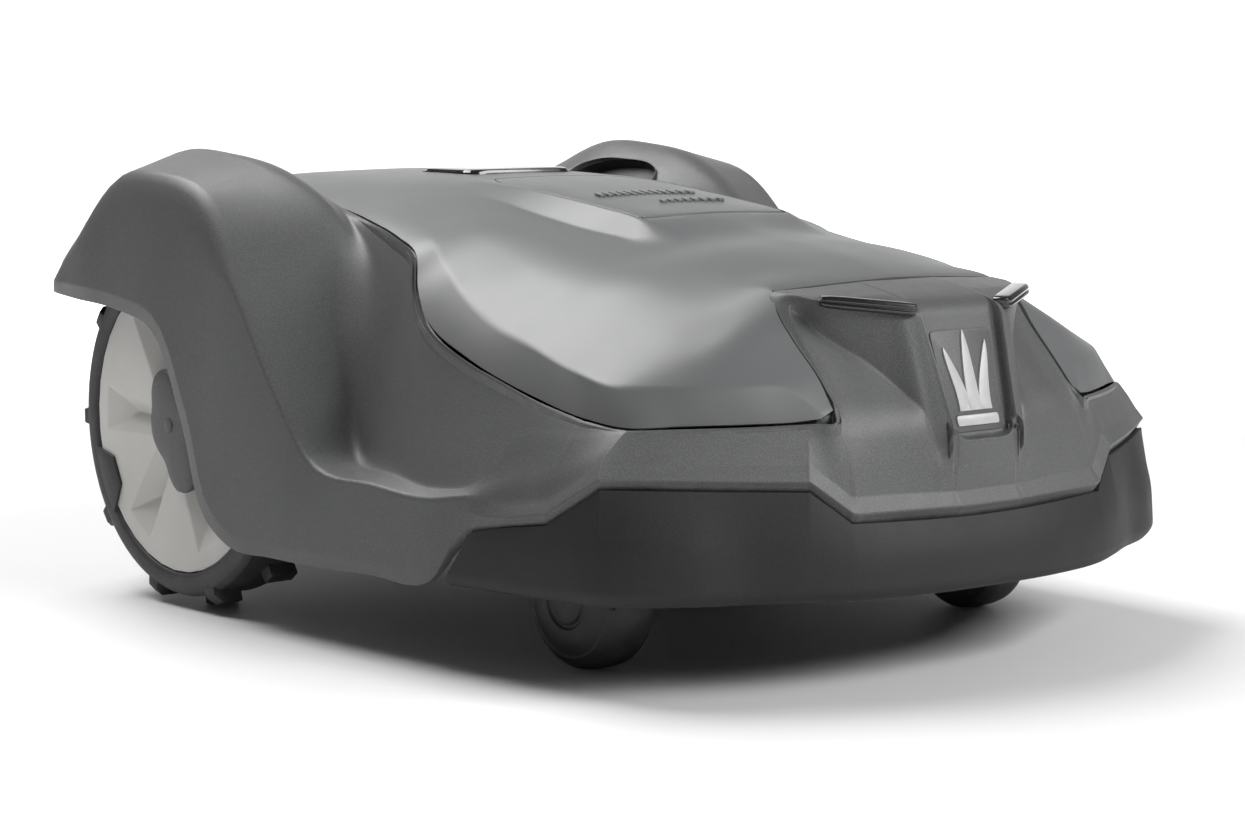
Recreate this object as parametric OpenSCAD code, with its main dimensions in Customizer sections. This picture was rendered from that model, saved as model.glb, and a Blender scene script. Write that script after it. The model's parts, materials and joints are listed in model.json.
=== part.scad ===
// Four-wheel robotic lawn mower, modelled as its separate parts.
// Frame: front towards -Y, up is +Z, origin on the ground below the middle of the machine.

/* [Shell] */
// Wall thickness of the moulded shell parts
shell_wall = 3; // [2.5:0.5:4]
// Width of the seam between the body shell and the top cover
cover_seam = 2; // [1:0.2:2.4]
// Wall thickness of the front bumper
bumper_wall = 4; // [3:0.5:5]

/* [Rear wheels] */
// Radius of the tyre tread, without its lugs
tyre_r = 116; // [112:1:118]
// Height of the tyre lugs
lug_h = 9; // [6:1:9]
// Number of lugs around one tyre
lug_count = 20; // [12:1:24]
// Width of a rear wheel
wheel_w = 46; // [40:1:46]
// Radius of the light wheel disc
disc_r = 97; // [90:1:98]

/* [Front castors] */
// Radius of a castor wheel
castor_r = 44; // [40:1:45]
// Width of a castor wheel
castor_w = 40; // [34:1:44]
// Distance from the swivel axis back to the wheel axle
castor_trail = 22; // [16:1:24]

/* [Cutting system] */
// Radius of the cutting disc
cut_disc_r = 95; // [90:1:100]
// Length of one blade
blade_l = 36; // [30:1:38]
// Number of blades that the disc carries
blade_count = 3; // [3:1:3]
// Travel of the cutting height adjustment
cut_travel = 40; // [30:1:40]

/* [Hidden] */
$fn = 64;

// ---- places shared by several parts ----
axle_y = 178;                       // rear axle, from the middle of the machine
axle_z = tyre_r + lug_h;            // rear axle above the ground
wheel_x = 228;                      // middle of a rear wheel
castor_x = 168;                     // swivel axis of a castor
castor_y = -183;
castor_axle_y = castor_y + castor_trail;
cutter_y = -30;                     // axis of the cutting motor and of the height knob
blade_z = 59;                       // middle of the blades at the highest cutting height
pan_rim_z = 140;                    // joint between chassis pan and deck
deck_top_z = 172;
panel_z = 232;                      // underside of the control panel
run_fit = 0.06;                     // radial clearance of a running fit
gap = 0.5;                          // clearance between neighbouring parts

// ---- smooth sheets: a grid of points, refined and given a thickness ----
function blend(a, b, c, d, t) =
    0.5 * (2 * b + (c - a) * t + (2 * a - 5 * b + 4 * c - d) * t * t
           + (3 * b - a - 3 * c + d) * t * t * t);

// Row of points with n steps between neighbours, on a smooth curve through all of them
function refine(p, n, closed) =
    let (m = len(p), last = closed ? m - 1 : m - 2)
    [for (i = [0:last], k = [0:n - 1])
        let (a = closed ? p[(i + m - 1) % m] : p[max(i - 1, 0)],
             b = p[i],
             c = p[(i + 1) % m],
             d = closed ? p[(i + 2) % m] : p[min(i + 2, m - 1)])
        blend(a, b, c, d, k / n),
     if (!closed) p[m - 1]];

function turned(g) = [for (j = [0:len(g[0]) - 1]) [for (row = g) row[j]]];

function refine_grid(g, n, m, closed) =
    let (across = [for (row = g) refine(row, m, false)])
    turned([for (line = turned(across)) refine(line, n, closed)]);

function unit(v) = v / max(norm(v), 1e-9);

// Grid moved by t along its own normals
function inset_grid(g, t, closed) =
    let (m = len(g), w = len(g[0]))
    [for (i = [0:m - 1]) [for (j = [0:w - 1])
        let (before = closed ? (i + m - 1) % m : max(i - 1, 0),
             after = closed ? (i + 1) % m : min(i + 1, m - 1),
             along = g[after][j] - g[before][j],
             up = g[i][min(j + 1, w - 1)] - g[i][max(j - 1, 0)])
        g[i][j] + t * unit(cross(along, up))]];

function flat(g) = [for (row = g) for (p = row) p];

// Solid sheet between a grid and its inset. The holes are cell ranges [i0, i1, j0, j1].
module sheet(g, t, closed = false, holes = []) {
    m = len(g);
    w = len(g[0]);
    size = m * w;
    cells = closed ? m : m - 1;
    inner = inset_grid(g, t, closed);
    function open_at(i, j) =
        j < 0 || j >= w - 1 || (!closed && (i < 0 || i >= cells))
        || len([for (h = holes) if (i >= h[0] && i < h[1] && j >= h[2] && j < h[3]) 1]) > 0;
    function at(i, j) = ((i + m) % m) * w + j;
    function pair(a, b, c, d) = [[a, b, c], [a, c, d]];
    polyhedron(
        points = concat(flat(g), flat(inner)),
        faces = [for (i = [0:cells - 1], j = [0:w - 2]) if (!open_at(i, j))
            let (a = at(i, j), b = at(i + 1, j), c = at(i + 1, j + 1), d = at(i, j + 1))
            each concat(
                pair(a, d, c, b),
                pair(a + size, b + size, c + size, d + size),
                open_at(i - 1, j) ? pair(a, a + size, d + size, d) : [],
                open_at(i + 1, j) ? pair(b, c, c + size, b + size) : [],
                open_at(i, j - 1) ? pair(a, b, b + size, a + size) : [],
                open_at(i, j + 1) ? pair(d, d + size, c + size, c) : [])]);
}

function mirror_x(p) = [-p[0], p[1], p[2]];

// Half ring from the front middle to the rear middle, closed by its mirror image
function ring(half) =
    concat(half, [for (i = [len(half) - 2:-1:1]) [for (p = half[i]) mirror_x(p)]]);

// Half strip of rows that starts at the middle, joined to its mirror image
function mirrored_strip(half) =
    concat([for (i = [len(half) - 1:-1:1]) [for (p = half[i]) mirror_x(p)]], half);

// Half sheet whose first column lies beside the middle, joined to its mirror image
function both_sides(half) =
    [for (row = half)
        concat([for (j = [len(row) - 1:-1:0]) mirror_x(row[j])], row)];

// ---- outline of the body shell, front middle to rear middle ----
// Each station runs from the lower edge up to the seam with the top cover.
SHELL = [
    [[0, -333.5, 102.8], [0, -335.5, 105.4], [0, -330.5, 114], [0, -331, 124], [0, -331.6, 135], [0, -327, 143]],
    [[38, -332.3, 103.2], [38, -334.3, 105.8], [37, -329.4, 114.5], [36.5, -329.8, 127], [36.5, -329, 136],
     [37, -324.5, 144]],
    [[72, -329.3, 104], [72, -331.3, 106.6], [71, -326.5, 115.6], [70.5, -322.5, 138], [70, -318.5, 155],
     [69, -314, 159.4]],
    [[107, -325, 105.4], [107.7, -327, 108], [105, -321.8, 116.8], [104, -317.5, 140], [103, -312.5, 156],
     [102, -308, 158.6]],
    [[130, -313.3, 124.4], [131, -315.3, 127], [127, -310.5, 136], [124.6, -307.6, 145], [121.5, -304.2, 156],
     [119.5, -302, 158.8]],
    [[164.6, -294.1, 125.7], [165.8, -296, 128.3], [161.5, -291.5, 137], [158.5, -289, 145], [154.5, -286.3, 155],
     [152, -284.5, 157.8]],
    [[199.6, -273.6, 127.2], [200.9, -275.3, 129.8], [196.5, -271, 138.2], [193, -269, 145.5], [188.5, -266.8, 155],
     [186, -265, 157.5]],
    [[235.4, -250.4, 128.5], [237, -251.6, 131], [231.5, -248.5, 139], [226, -248, 146], [216, -248.6, 155],
     [211, -248, 157]],
    [[244.9, -214, 104.8], [246.3, -214, 107.6], [241, -212, 116], [234, -211.8, 134], [225, -214, 150],
     [217.5, -216, 160.5]],
    [[249, -172, 98.4], [250.5, -171, 101.2], [246, -170, 110], [240.5, -168.5, 124], [229, -168.5, 148],
     [218, -171, 169]],
    [[252, -146, 94], [252, -143, 104], [251, -145, 111], [244, -143, 118], [232, -138, 144],
     [216.5, -138, 177]],
    [[255, -114, 56], [256, -111, 66], [255, -115, 107], [245, -112, 113], [235, -103, 138],
     [215, -100, 187]],
    [[257, -55, 53], [259, -55, 62], [256, -55, 110], [234, -52, 114], [225, -48, 140], [208, -50, 206]],
    [[259, 0, 51], [261, 0, 60], [257, 4, 115], [221, 2, 117], [211, -8, 155], [196, -23, 226]],
    [[260, 48, 51], [262, 46, 60], [257.5, 45.5, 159], [206, 39, 191], [196, 22, 200], [186, -9, 244]],
    [[261, 98, 53], [262.5, 90, 61], [257, 90, 221], [191, 68, 241], [181, 48, 236], [176, 25, 255]],
    [[261, 124, 67], [263, 112, 72], [256, 118, 255], [181, 92, 270], [170, 84, 259], [166, 68, 263]],
    [[261, 153, 131], [263, 143, 137], [255, 146, 280], [184, 150, 300], [160, 140, 282], [149, 135, 271]],
    [[261, 189, 189], [263, 183, 199], [255, 196, 291], [186, 200, 308], [157, 195, 288], [146, 190, 276]],
    [[261, 235, 200], [263, 233, 210], [255, 248, 287], [186, 254, 308.5], [156, 240, 291],
     [142, 225, 279]],
    [[260, 290, 204], [262, 291, 214], [256, 294, 248], [190, 296, 291], [160, 285, 285], [134, 262, 281]],
    [[250, 334, 206], [246, 338, 214], [237, 334, 228], [194, 321, 270], [158, 308, 280], [121, 289, 283]],
    [[206, 335, 200], [204, 338, 208], [199, 337, 226], [178, 333, 252], [141, 324, 271], [101, 300, 284]],
    [[188, 334, 120], [187, 339, 128], [181, 340, 190], [160, 340, 235], [121, 330, 266], [80, 304, 285]],
    [[172, 337, 86], [170, 343, 94], [162, 346, 150], [140, 345, 215], [96, 334, 260], [55, 306, 285.5]],
    [[90, 343, 82], [90, 349, 90], [86, 351, 150], [75, 349, 215], [52, 337, 260], [28, 307, 286]],
    [[0, 344, 82], [0, 350, 90], [0, 352, 150], [0, 350, 215], [0, 338, 260], [0, 308, 286]]
];

BUMPER_END = 10;        // last station with the bumper below it

// Level direction towards the middle of the machine at station i, for its column k
function inward(half, i, k) =
    let (q = half[min(i + 1, len(half) - 1)][k] - half[max(i - 1, 0)][k])
    unit([-q[1], q[0], 0]);

// Station with its lower edge turned in, behind the bumper where there is one, and with the
// seat for the rim of the top cover: a step down from the seam, then inwards
seat_drop = 7;
seat_w = 11;
tuck = 5.5;
function finished(half) =
    [for (i = [0:len(half) - 1])
        let (p = half[i][5], low = half[i][0], behind = i <= BUMPER_END)
        concat([low + inward(half, i, 0) * (behind ? tuck : 4) - [0, 0, behind ? 9 : -1]],
               half[i],
               [p - [0, 0, seat_drop], p + inward(half, i, 5) * seat_w - [0, 0, seat_drop + 1]])];

// ---- outline of the top cover, rear edge to the tips beside the nose ----
// Each row runs from beside the middle to the outer edge.
COVER = [
    [[8, 306, 286.1], [40, 304.5, 285.8], [78, 302, 285], [100, 298, 284], [111, 294, 283.5],
     [121, 289, 283]],
    [[8, 262, 289.5], [45, 262, 289], [86, 262, 288], [106, 262, 286], [122, 262, 283.5], [134, 262, 281]],
    [[8, 225, 290.5], [48, 225, 290], [88, 225, 288], [110, 225, 285], [130, 225, 282], [142, 225, 279]],
    [[8, 178, 291], [48, 178, 290.5], [91, 178, 287.5], [115, 178, 283.5], [135, 178, 278.5],
     [147, 178, 275]],
    [[8, 145, 291.2], [48, 145, 290.6], [92, 145, 286.8], [117, 145, 282], [137, 145, 276],
     [149, 145, 272]],
    [[8, 112, 290.4], [48, 112, 289.8], [92, 112, 285.5], [119, 112, 280], [142, 112, 273],
     [155, 112, 268.5]],
    [[8, 88, 289], [66, 84, 288], [91, 82, 282], [120, 78, 277], [150, 73, 269.5], [166, 68, 263]],
    [[8, 35, 285.5], [66, 35, 284], [88, 32, 275], [122, 30, 270], [160, 27, 261], [176, 25, 255]],
    [[8, -5, 281], [66, -5, 279.5], [86, -8, 268], [126, -8, 264], [170, -9, 252], [184.8, -10, 244.3]],
    [[8, -48, 275.5], [66, -48, 274], [84, -50, 261], [130, -44, 256], [178, -30, 240], [194.8, -24, 226.4]],
    [[8, -90, 269], [66, -89.6, 267.6], [80, -98, 255], [136, -84, 247], [190, -62, 226], [208, -50, 206]],
    [[8, -128, 259], [60, -124, 256], [84, -120, 250.5], [142, -124, 240], [199, -108, 208],
     [215, -100, 187]],
    [[8, -170, 253.5], [50, -168, 252], [88, -164, 247], [144, -162, 234], [204, -151, 198],
     [218, -171, 169]],
    [[8, -215, 246], [50, -212, 244], [90, -206, 239], [144, -202, 222], [207, -190, 188],
     [217.5, -216, 160.5]],
    [[8, -252, 236], [50, -251, 234.5], [97, -244, 231], [142, -236, 210.5], [206, -231, 181],
     [211, -248, 157]],
    [[103, -252, 225], [104, -254, 222], [108, -255, 220], [145, -258, 200], [184, -254, 180],
     [186, -265, 157.5]],
    [[102.5, -270, 206], [104.5, -270, 205], [108.5, -270, 204], [138, -274, 189],
     [154, -274, 180], [152, -284.5, 157.8]],
    [[102.5, -289, 185], [104.5, -290, 184], [108.5, -291, 183], [118, -290.5, 181],
     [126, -290, 177], [130, -297, 158.3]],
    [[103, -305, 166], [105, -305.5, 165], [107, -305.5, 164], [110, -305, 162.5],
     [113, -304.5, 161], [117, -303.5, 159]]
];
STOP_ROWS = [3, 5];      // rows that the stop button's opening lies between
HATCH_ROWS = [6, 10];    // rows that the hatch's opening lies between
NOSE_ROWS = [14, 18];    // rows that stop beside the nose

// ---- outline of the nose, rows from the middle out, points from the base up and back ----
NOSE = [
    [[0, -325, 143], [0, -313.5, 182], [0, -302, 221], [0, -284, 229.5], [0, -254, 235]],
    [[24, -325, 143], [28, -313.5, 182], [30.5, -302, 221], [31, -284, 229.5], [31, -253.8, 234.8]],
    [[26, -331.6, 144], [30, -320, 183], [33, -308.5, 221.5], [33.5, -284, 229.4], [33.5, -253.8, 234.8]],
    [[36.5, -328, 145], [38, -316.5, 184], [39.5, -306, 221.3], [40.5, -284, 229], [40, -253.4, 234.4]],
    [[69, -315, 160], [64, -300, 180], [67, -291, 223], [69, -280, 228.6], [68, -251.5, 233.2]],
    [[86, -312.5, 160.5], [84, -286, 189], [84, -280, 224], [85, -273, 228.6], [83, -250, 232]],
    [[99, -310.5, 161.5], [99, -289, 185], [98, -271, 204], [95.5, -258, 218], [92, -252, 229.5]]
];

// ---- outline of the bumper, from the middle round to its end beside the body ----
BUMPER = [
    [[0, -341, 56], [0, -345.5, 61], [0, -342, 82], [0, -334.5, 101.4]],
    [[60, -338, 56], [60, -342, 61], [60, -340, 82], [58, -333.2, 102.6]],
    [[108, -327, 56], [110, -331.5, 61.5], [109.5, -330, 82], [107.3, -326, 104]],
    [[134, -315.5, 56.5], [136, -320, 62], [134, -319, 90], [130.3, -314.2, 123.2]],
    [[164, -299.5, 56.5], [166, -303.5, 62.5], [167, -301, 90], [165, -295, 124.5]],
    [[196, -286, 57], [199, -290.5, 63], [201, -286.5, 90], [200, -274.5, 126]],
    [[233, -253, 57], [238, -255, 63], [239, -252.5, 90], [236, -251, 127.3]],
    [[243, -216, 57], [247, -216, 63], [248, -214.5, 85], [245.5, -214, 103.5]],
    [[250, -170, 57], [253, -170, 63], [252, -170, 80], [249, -170, 97]],
    [[252, -132, 56], [255, -130, 61], [253, -142, 78], [252, -149, 92]]
];

module body_shell() {
    color("dimgray")
        sheet(refine_grid(ring(finished(SHELL)), 2, 1, true), -shell_wall, true);
}

// Grid of the cover, its rim pulled back by the seam
function cover_grid() =
    let (seam = cover_seam)
    both_sides([for (row = COVER)
        [for (j = [0:5])
            let (p = row[j], out = unit([p[0], p[1] * 0.6, 0]))
            j == 5 ? p - out * seam + [0, 0, 0.6] : p]]);

module top_cover() {
    steps = 2;
    holes = [for (h = [[STOP_ROWS, [4, 7]], [HATCH_ROWS, [4, 7]], [NOSE_ROWS, [5, 6]]])
        [h[0][0] * steps, h[0][1] * steps, h[1][0], h[1][1]]];
    color("gray")
        sheet(refine_grid(cover_grid(), steps, 1, false), 0.5 - shell_wall, false, holes);
}

module nose_housing() {
    seam = cover_seam;
    trimmed = [for (row = NOSE) [for (k = [0:4]) k == 4 ? row[k] + [0, -seam, 0]
                                                   : row[k] + [0, 0, 2]]];
    color("dimgray") sheet(mirrored_strip(trimmed), -shell_wall + 0.5);
}

// Floor of the channel down the middle of the nose
face_tilt = atan2(23, 78);
module on_nose_face(up) {
    translate([0, -325, 144]) rotate([90 - face_tilt, 0, 0]) translate([0, up, 0]) children();
}

module rounded_plate(w, h, r, t) {
    linear_extrude(t) hull() {
        for (x = [-1, 1], y = [-1, 1]) translate([x * (w / 2 - r), y * (h / 2 - r)]) circle(r);
    }
}

module emblem_panel() {
    color("dimgray") on_nose_face(38) translate([0, 0, 0.5]) rounded_plate(45, 66, 5, 1.6);
}

// Plain mark: three blades of grass on a bar
module emblem() {
    color("silver") on_nose_face(38) translate([0, 0, 2.1]) linear_extrude(1.6)
        polygon([
            [-13, -24], [13, -24], [13, -20], [11, -20], [14, 12], [6, -12], [3, -12],
            [0, 24], [-3, -12], [-6, -12], [-14, 12], [-11, -20], [-13, -20]]);
}

// Light bar under the top edge of the nose, from its inner to its outer end
module headlight(side) {
    inner = [41, -305.5, 221];
    outer = [86, -280.5, 227];
    color("black") hull() {
        for (p = [inner, outer]) {
            translate([side * p[0], p[1], p[2]]) rotate([0, 90, 0])
                cylinder(h = 4, r = 3.4, center = true, $fn = 24);
        }
    }
}
module headlight_left() { headlight(-1); }
module headlight_right() { headlight(1); }

module front_bumper() {
    color([0.12, 0.12, 0.12])
        sheet(refine_grid(mirrored_strip(BUMPER), 2, 1, false), -bumper_wall);
}

// ---- hatch over the controls ----
hatch_front = -87.5;
hatch_rear = 82;
hatch_half = 64;
hinge_z = 266.7;
hinge_r = 1;
hinge_y = -85.8;
function hatch_top(y) = 269.3 + (y + 90) * 0.148 - pow((y + 90) / 62, 2);
HATCH = [for (y = [hatch_rear, 60, 40, 0, -40, -84, hatch_front])
    let (half = y == hatch_rear ? hatch_half - 12 : hatch_half - (y == hatch_front ? 3 : 0))
    [for (x = [-1, -0.5, 0, 0.5, 1]) [x * half, y, hatch_top(y) - abs(x) * 1.2]]];

module hatch() {
    color("darkgray") difference() {
        union() {
            sheet(HATCH, -3);
            translate([0, hinge_y, hinge_z]) rotate([0, 90, 0]) cylinder(h = 126, r = 2, center = true);
        }
        translate([0, hinge_y, hinge_z]) rotate([0, 90, 0])
            cylinder(h = 200, r = hinge_r + run_fit, center = true);
    }
}

module hatch_hinge_pin() {
    color("silver") for (side = [-1, 1]) {
        translate([side * 58, hinge_y, hinge_z]) rotate([0, side * 90, 0]) cylinder(h = 9, r = hinge_r);
    }
}

// Frame clipped below the cover's opening, open in the middle, on the slope of the hatch
module hatch_frame() {
    color("dimgray") translate([0, -90, 258.5]) rotate([6.4, 0, 0]) difference() {
        translate([-71, -3, -8]) cube([142, 182, 8]);
        translate([-59, 9, -9]) cube([118, 158, 10]);
    }
}

// ---- stop button behind the hatch ----
stop_y = 145;
stop_z = 284;
stop_stem_r = 9;
module stop_button() {
    color([0.2, 0.2, 0.2]) {
        translate([0, stop_y, stop_z]) rounded_plate(92, 62, 14, 9.5);
        translate([0, stop_y, stop_z - 24]) cylinder(h = 26, r = stop_stem_r);
    }
}

// Tray under the button, with a sleeve that guides its stem
module stop_button_guide() {
    color("black") difference() {
        union() {
            translate([0, stop_y, 272]) rounded_plate(106, 76, 18, 14.5);
            translate([0, stop_y, 254]) cylinder(h = 20, r = 14);
        }
        translate([0, stop_y, 275]) rounded_plate(98, 68, 16, 20);
        translate([0, stop_y, 252]) cylinder(h = 40, r = stop_stem_r + run_fit);
    }
}

// ---- chassis ----
pan_wall = 3;
pan_half = 190;
front_half = 186;
pan_front_y = -216;
pan_mid_y = -106;
pan_step_y = 86;
pan_rear_y = 300;
front_box_l = 122;
collar_r = 42;
floor_rear_z = 62;
floor_mid_z = 80;
floor_front_z = 106;
seal_t = 2;
flange_t = 4;
shaft_r = 6;
// Screws that hold the deck to the pan, right-hand side
CHASSIS_SCREWS = [[182.5, 80], [182.5, 292.5], [60, 292.5], [182.5, -84], [178.5, -208.5], [70, -208.5]];
DOOR_SCREWS = [[67, 212], [67, 293]];

// Plan of the chassis, made smaller by t all round
module chassis_plan(t) {
    translate([-pan_half + t, pan_mid_y + t]) square([2 * (pan_half - t), pan_rear_y - pan_mid_y - 2 * t]);
    translate([-front_half + t, pan_front_y + t])
        square([2 * (front_half - t), front_box_l - 2 * t]);
}

// Stepped space of the pan from its floors up to the given height
module pan_space(t, top) {
    translate([-pan_half + t, pan_step_y + t, floor_rear_z + t])
        cube([2 * (pan_half - t), pan_rear_y - pan_step_y - 2 * t, top - floor_rear_z - t]);
    translate([-pan_half + t, pan_mid_y + t, floor_mid_z + t])
        cube([2 * (pan_half - t), pan_step_y + 2 - pan_mid_y, top - floor_mid_z - t]);
    translate([-front_half + t, pan_front_y + t, floor_front_z + t])
        cube([2 * (front_half - t), front_box_l - 2 * t, top - floor_front_z - t]);
}

module both(points) {
    for (side = [-1, 1], p = points) translate([side * p[0], p[1], 0]) children();
}

module chassis_pan() {
    color([0.25, 0.25, 0.25]) difference() {
        union() {
            difference() {
                pan_space(0, pan_rim_z);
                pan_space(pan_wall, pan_rim_z + 1);
            }
            both(CHASSIS_SCREWS) translate([0, 0, 108]) cylinder(h = pan_rim_z - 108, r = 6);
            both([[castor_x, castor_y]]) translate([0, 0, floor_front_z]) cylinder(h = 32, r = 14);
            translate([0, cutter_y, floor_mid_z]) cylinder(h = 52, r = collar_r + 3);
        }
        translate([0, cutter_y, floor_mid_z - 1]) cylinder(h = 60, r = collar_r);
        both(CHASSIS_SCREWS) translate([0, 0, 126]) cylinder(h = 20, r = 2);
        both(DOOR_SCREWS) translate([0, 0, floor_rear_z - 1]) cylinder(h = 8, r = 1.5);
        both([[castor_x, castor_y]]) translate([0, 0, floor_front_z - 1]) cylinder(h = 40, r = 9);
        translate([0, axle_y, axle_z]) rotate([0, 90, 0]) cylinder(h = 420, r = shaft_r + 2, center = true);
        translate([-62, 218, floor_rear_z - 1]) cube([124, 69, 8]);
        translate([-118, 239, floor_rear_z - 1]) cube([16, 22, 8]);
        switch_axis() cylinder(h = 21, r = 1.2, center = true);
    }
}

// Spaces under the raised parts of the deck, made smaller by t
module deck_space(t, top) {
    base = pan_rim_z + seal_t;
    for (b = [[189, 92, 288], [150, -90, 95], [140, -198, -85]]) {
        translate([-b[0] + t, b[1] + t, base]) cube([2 * (b[0] - t), b[2] - b[1] - 2 * t, top - base]);
    }
}

module chassis_deck() {
    base = pan_rim_z + seal_t;
    color([0.25, 0.25, 0.25]) difference() {
        union() {
            translate([0, 0, base]) linear_extrude(flange_t) chassis_plan(0);
            deck_space(0, deck_top_z);
            translate([-58, -78, deck_top_z - 4]) cube([116, 158, panel_z - deck_top_z + 4]);
        }
        translate([0, 0, -1]) deck_space(pan_wall, deck_top_z - 2);
        translate([-147, -100, base - 1]) cube([294, 60, 20]);
        translate([-137, 80, base - 1]) cube([274, 30, 20]);
        translate([-55, -75, base]) cube([110, 152, 120]);
        both(CHASSIS_SCREWS) translate([0, 0, base - 1]) cylinder(h = 20, r = 2);
    }
}

module chassis_seal() {
    color("black") translate([0, 0, pan_rim_z]) linear_extrude(seal_t) difference() {
        chassis_plan(0.6);
        chassis_plan(2.6);
    }
}

module chassis_screws() {
    top = pan_rim_z + seal_t + flange_t;
    color("silver") both(CHASSIS_SCREWS) {
        translate([0, 0, 127]) cylinder(h = top - 127, r = 2);
        translate([0, 0, top]) cylinder(h = 3, r = 4);
    }
}

// Rubber boots that carry the floating shell: [x, y, height of the top]
BOOTS = [[108, -160, 236], [112, 235, 276]];
module suspension_boots() {
    color("black") for (side = [-1, 1], b = BOOTS) translate([side * b[0], b[1], deck_top_z]) {
        cylinder(h = 6, r = 17);
        cylinder(h = b[2] - deck_top_z - 8, r = 11);
        for (k = [1:3]) translate([0, 0, 6 + 8 * k]) cylinder(h = 3, r = 14);
        translate([0, 0, b[2] - deck_top_z - 12]) cylinder(h = 12, r = 8);
    }
}

// Carrying handle across the rear, on two arms from the pan
module rear_handle() {
    color("black") {
        for (side = [-1, 1]) translate([side * 70 - 7, 300, 66]) cube([14, 29, 14]);
        translate([0, 329, 73]) rotate([0, 90, 0]) cylinder(h = 154, r = 9, center = true);
    }
}

module battery_pack() {
    color("darkslategray") difference() {
        translate([-58, 221, 66]) cube([116, 63, 46]);
        for (x = [-40:20:40]) translate([x - 1.5, 220, 90]) cube([3, 65, 30]);
    }
}

module battery_door() {
    color([0.25, 0.25, 0.25]) difference() {
        union() {
            translate([-73, 207, floor_rear_z - 3.5]) cube([146, 91, 3.5]);
            translate([-61, 219, floor_rear_z - 1]) cube([122, 67, 4]);
        }
        both(DOOR_SCREWS) translate([0, 0, 50]) cylinder(h = 20, r = 1.5);
        both(DOOR_SCREWS) translate([0, 0, 50]) cylinder(h = 10.7, r = 3.6);
    }
}

module battery_door_screws() {
    color("silver") both(DOOR_SCREWS) {
        translate([0, 0, floor_rear_z - 3]) cylinder(h = 6, r = 1.5);
        translate([0, 0, floor_rear_z - 3.2]) cylinder(h = 1.9, r = 3.5);
    }
}

// Circuit board on four posts below the deck
module main_board() {
    color("seagreen") {
        translate([-64, 110, 148]) cube([128, 92, 1.6]);
        for (x = [-58, 58], y = [116, 196]) translate([x, y, 149]) cylinder(h = deck_top_z - 152, r = 3);
        translate([-20, 130, 149]) cube([24, 24, 4]);
        translate([20, 140, 149]) cube([18, 30, 9]);
        for (k = [0:3]) translate([-44, 128 + 14 * k, 149]) cylinder(h = 12, r = 5);
    }
}

switch_x = -110;
switch_y = 250;
module switch_axis() {
    translate([switch_x, switch_y, floor_rear_z + 1.5]) rotate([0, 90, 0]) children();
}

module main_switch() {
    color("black") difference() {
        translate([switch_x - 6.5, switch_y - 9, floor_rear_z - 2]) cube([13, 18, 7]);
        switch_axis() cylinder(h = 30, r = 1.2 + run_fit, center = true);
    }
}

module switch_pin() {
    color("silver") switch_axis() cylinder(h = 21, r = 1.2, center = true);
}

// Two charging plates on the front wall of the pan
module charging_contacts() {
    color("goldenrod") for (side = [-1, 1])
        translate([side * 42 - 14, pan_front_y - 3, 109]) cube([28, 3, 24]);
}

// ---- controls under the hatch ----
panel_t = 4;
button_r = 5;
BUTTON_Y = 66;
BUTTON_X = [-36, -12, 12, 36];
knob_shaft_r = 8;

module control_panel() {
    color("black") difference() {
        translate([0, 1, panel_z]) rounded_plate(112, 154, 8, panel_t);
        translate([0, cutter_y, panel_z - 1]) cylinder(h = 8, r = knob_shaft_r + run_fit);
        translate([-36, 8, panel_z + 2]) cube([72, 44, 4]);
        for (x = BUTTON_X) translate([x, BUTTON_Y, panel_z - 1]) cylinder(h = 8, r = button_r + run_fit);
    }
}

module display() {
    color("lightsteelblue") translate([-35.5, 8.5, panel_z + 2]) cube([71, 43, 2.5]);
}

module push_button(x) {
    color("orange") {
        translate([x, BUTTON_Y, panel_z - 6]) cylinder(h = 13, r = button_r);
        translate([x, BUTTON_Y, panel_z - 6]) cylinder(h = 2, r = button_r + 2);
    }
}
module start_button() { push_button(BUTTON_X[0]); }
module home_button() { push_button(BUTTON_X[1]); }
module up_button() { push_button(BUTTON_X[2]); }
module down_button() { push_button(BUTTON_X[3]); }

// Knob for the cutting height, with the coarse screw that lowers the carriage
module height_knob() {
    top = panel_z + panel_t + gap;
    color("orange") {
        translate([0, cutter_y, pan_rim_z]) cylinder(h = top - pan_rim_z, r = knob_shaft_r);
        translate([0, cutter_y, top]) cylinder(h = 7, r = 24);
        translate([-22, cutter_y - 4, top + 6]) cube([44, 8, 12]);
    }
}

// ---- cutting system, drawn at its highest position ----
carriage_top_z = 136;
motor_flange_z = 84;
disc_z = 62;
spindle_r = 5;

module at_cutter(z) {
    translate([0, cutter_y, z]) children();
}

module cutter_carriage() {
    color([0.3, 0.3, 0.3]) difference() {
        union() {
            at_cutter(motor_flange_z + 4) cylinder(h = carriage_top_z - motor_flange_z - 4, r = collar_r - gap);
            at_cutter(carriage_top_z - 1) cylinder(h = 52, r = knob_shaft_r + 4);
        }
        at_cutter(motor_flange_z) cylinder(h = carriage_top_z - motor_flange_z - 4, r = 37);
        at_cutter(carriage_top_z - 10) cylinder(h = 70, r = knob_shaft_r + run_fit);
    }
}

module cutter_motor() {
    color("silver") difference() {
        union() {
            at_cutter(motor_flange_z) cylinder(h = 4, r = collar_r - 1);
            at_cutter(motor_flange_z + 3) cylinder(h = 40, r = 36.8);
        }
        at_cutter(motor_flange_z - 1) cylinder(h = 38, r = spindle_r + run_fit);
    }
}

module cutter_shaft() {
    color("silver") {
        at_cutter(43) cylinder(h = 3.5, r = 8);
        at_cutter(46) cylinder(h = 74, r = spindle_r);
    }
}

// Middle of blade k's pivot, in plan
blade_ring = 88;
function pivot(k) = let (a = 90 + 360 * k / blade_count)
    [blade_ring * cos(a), cutter_y + blade_ring * sin(a)];

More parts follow.
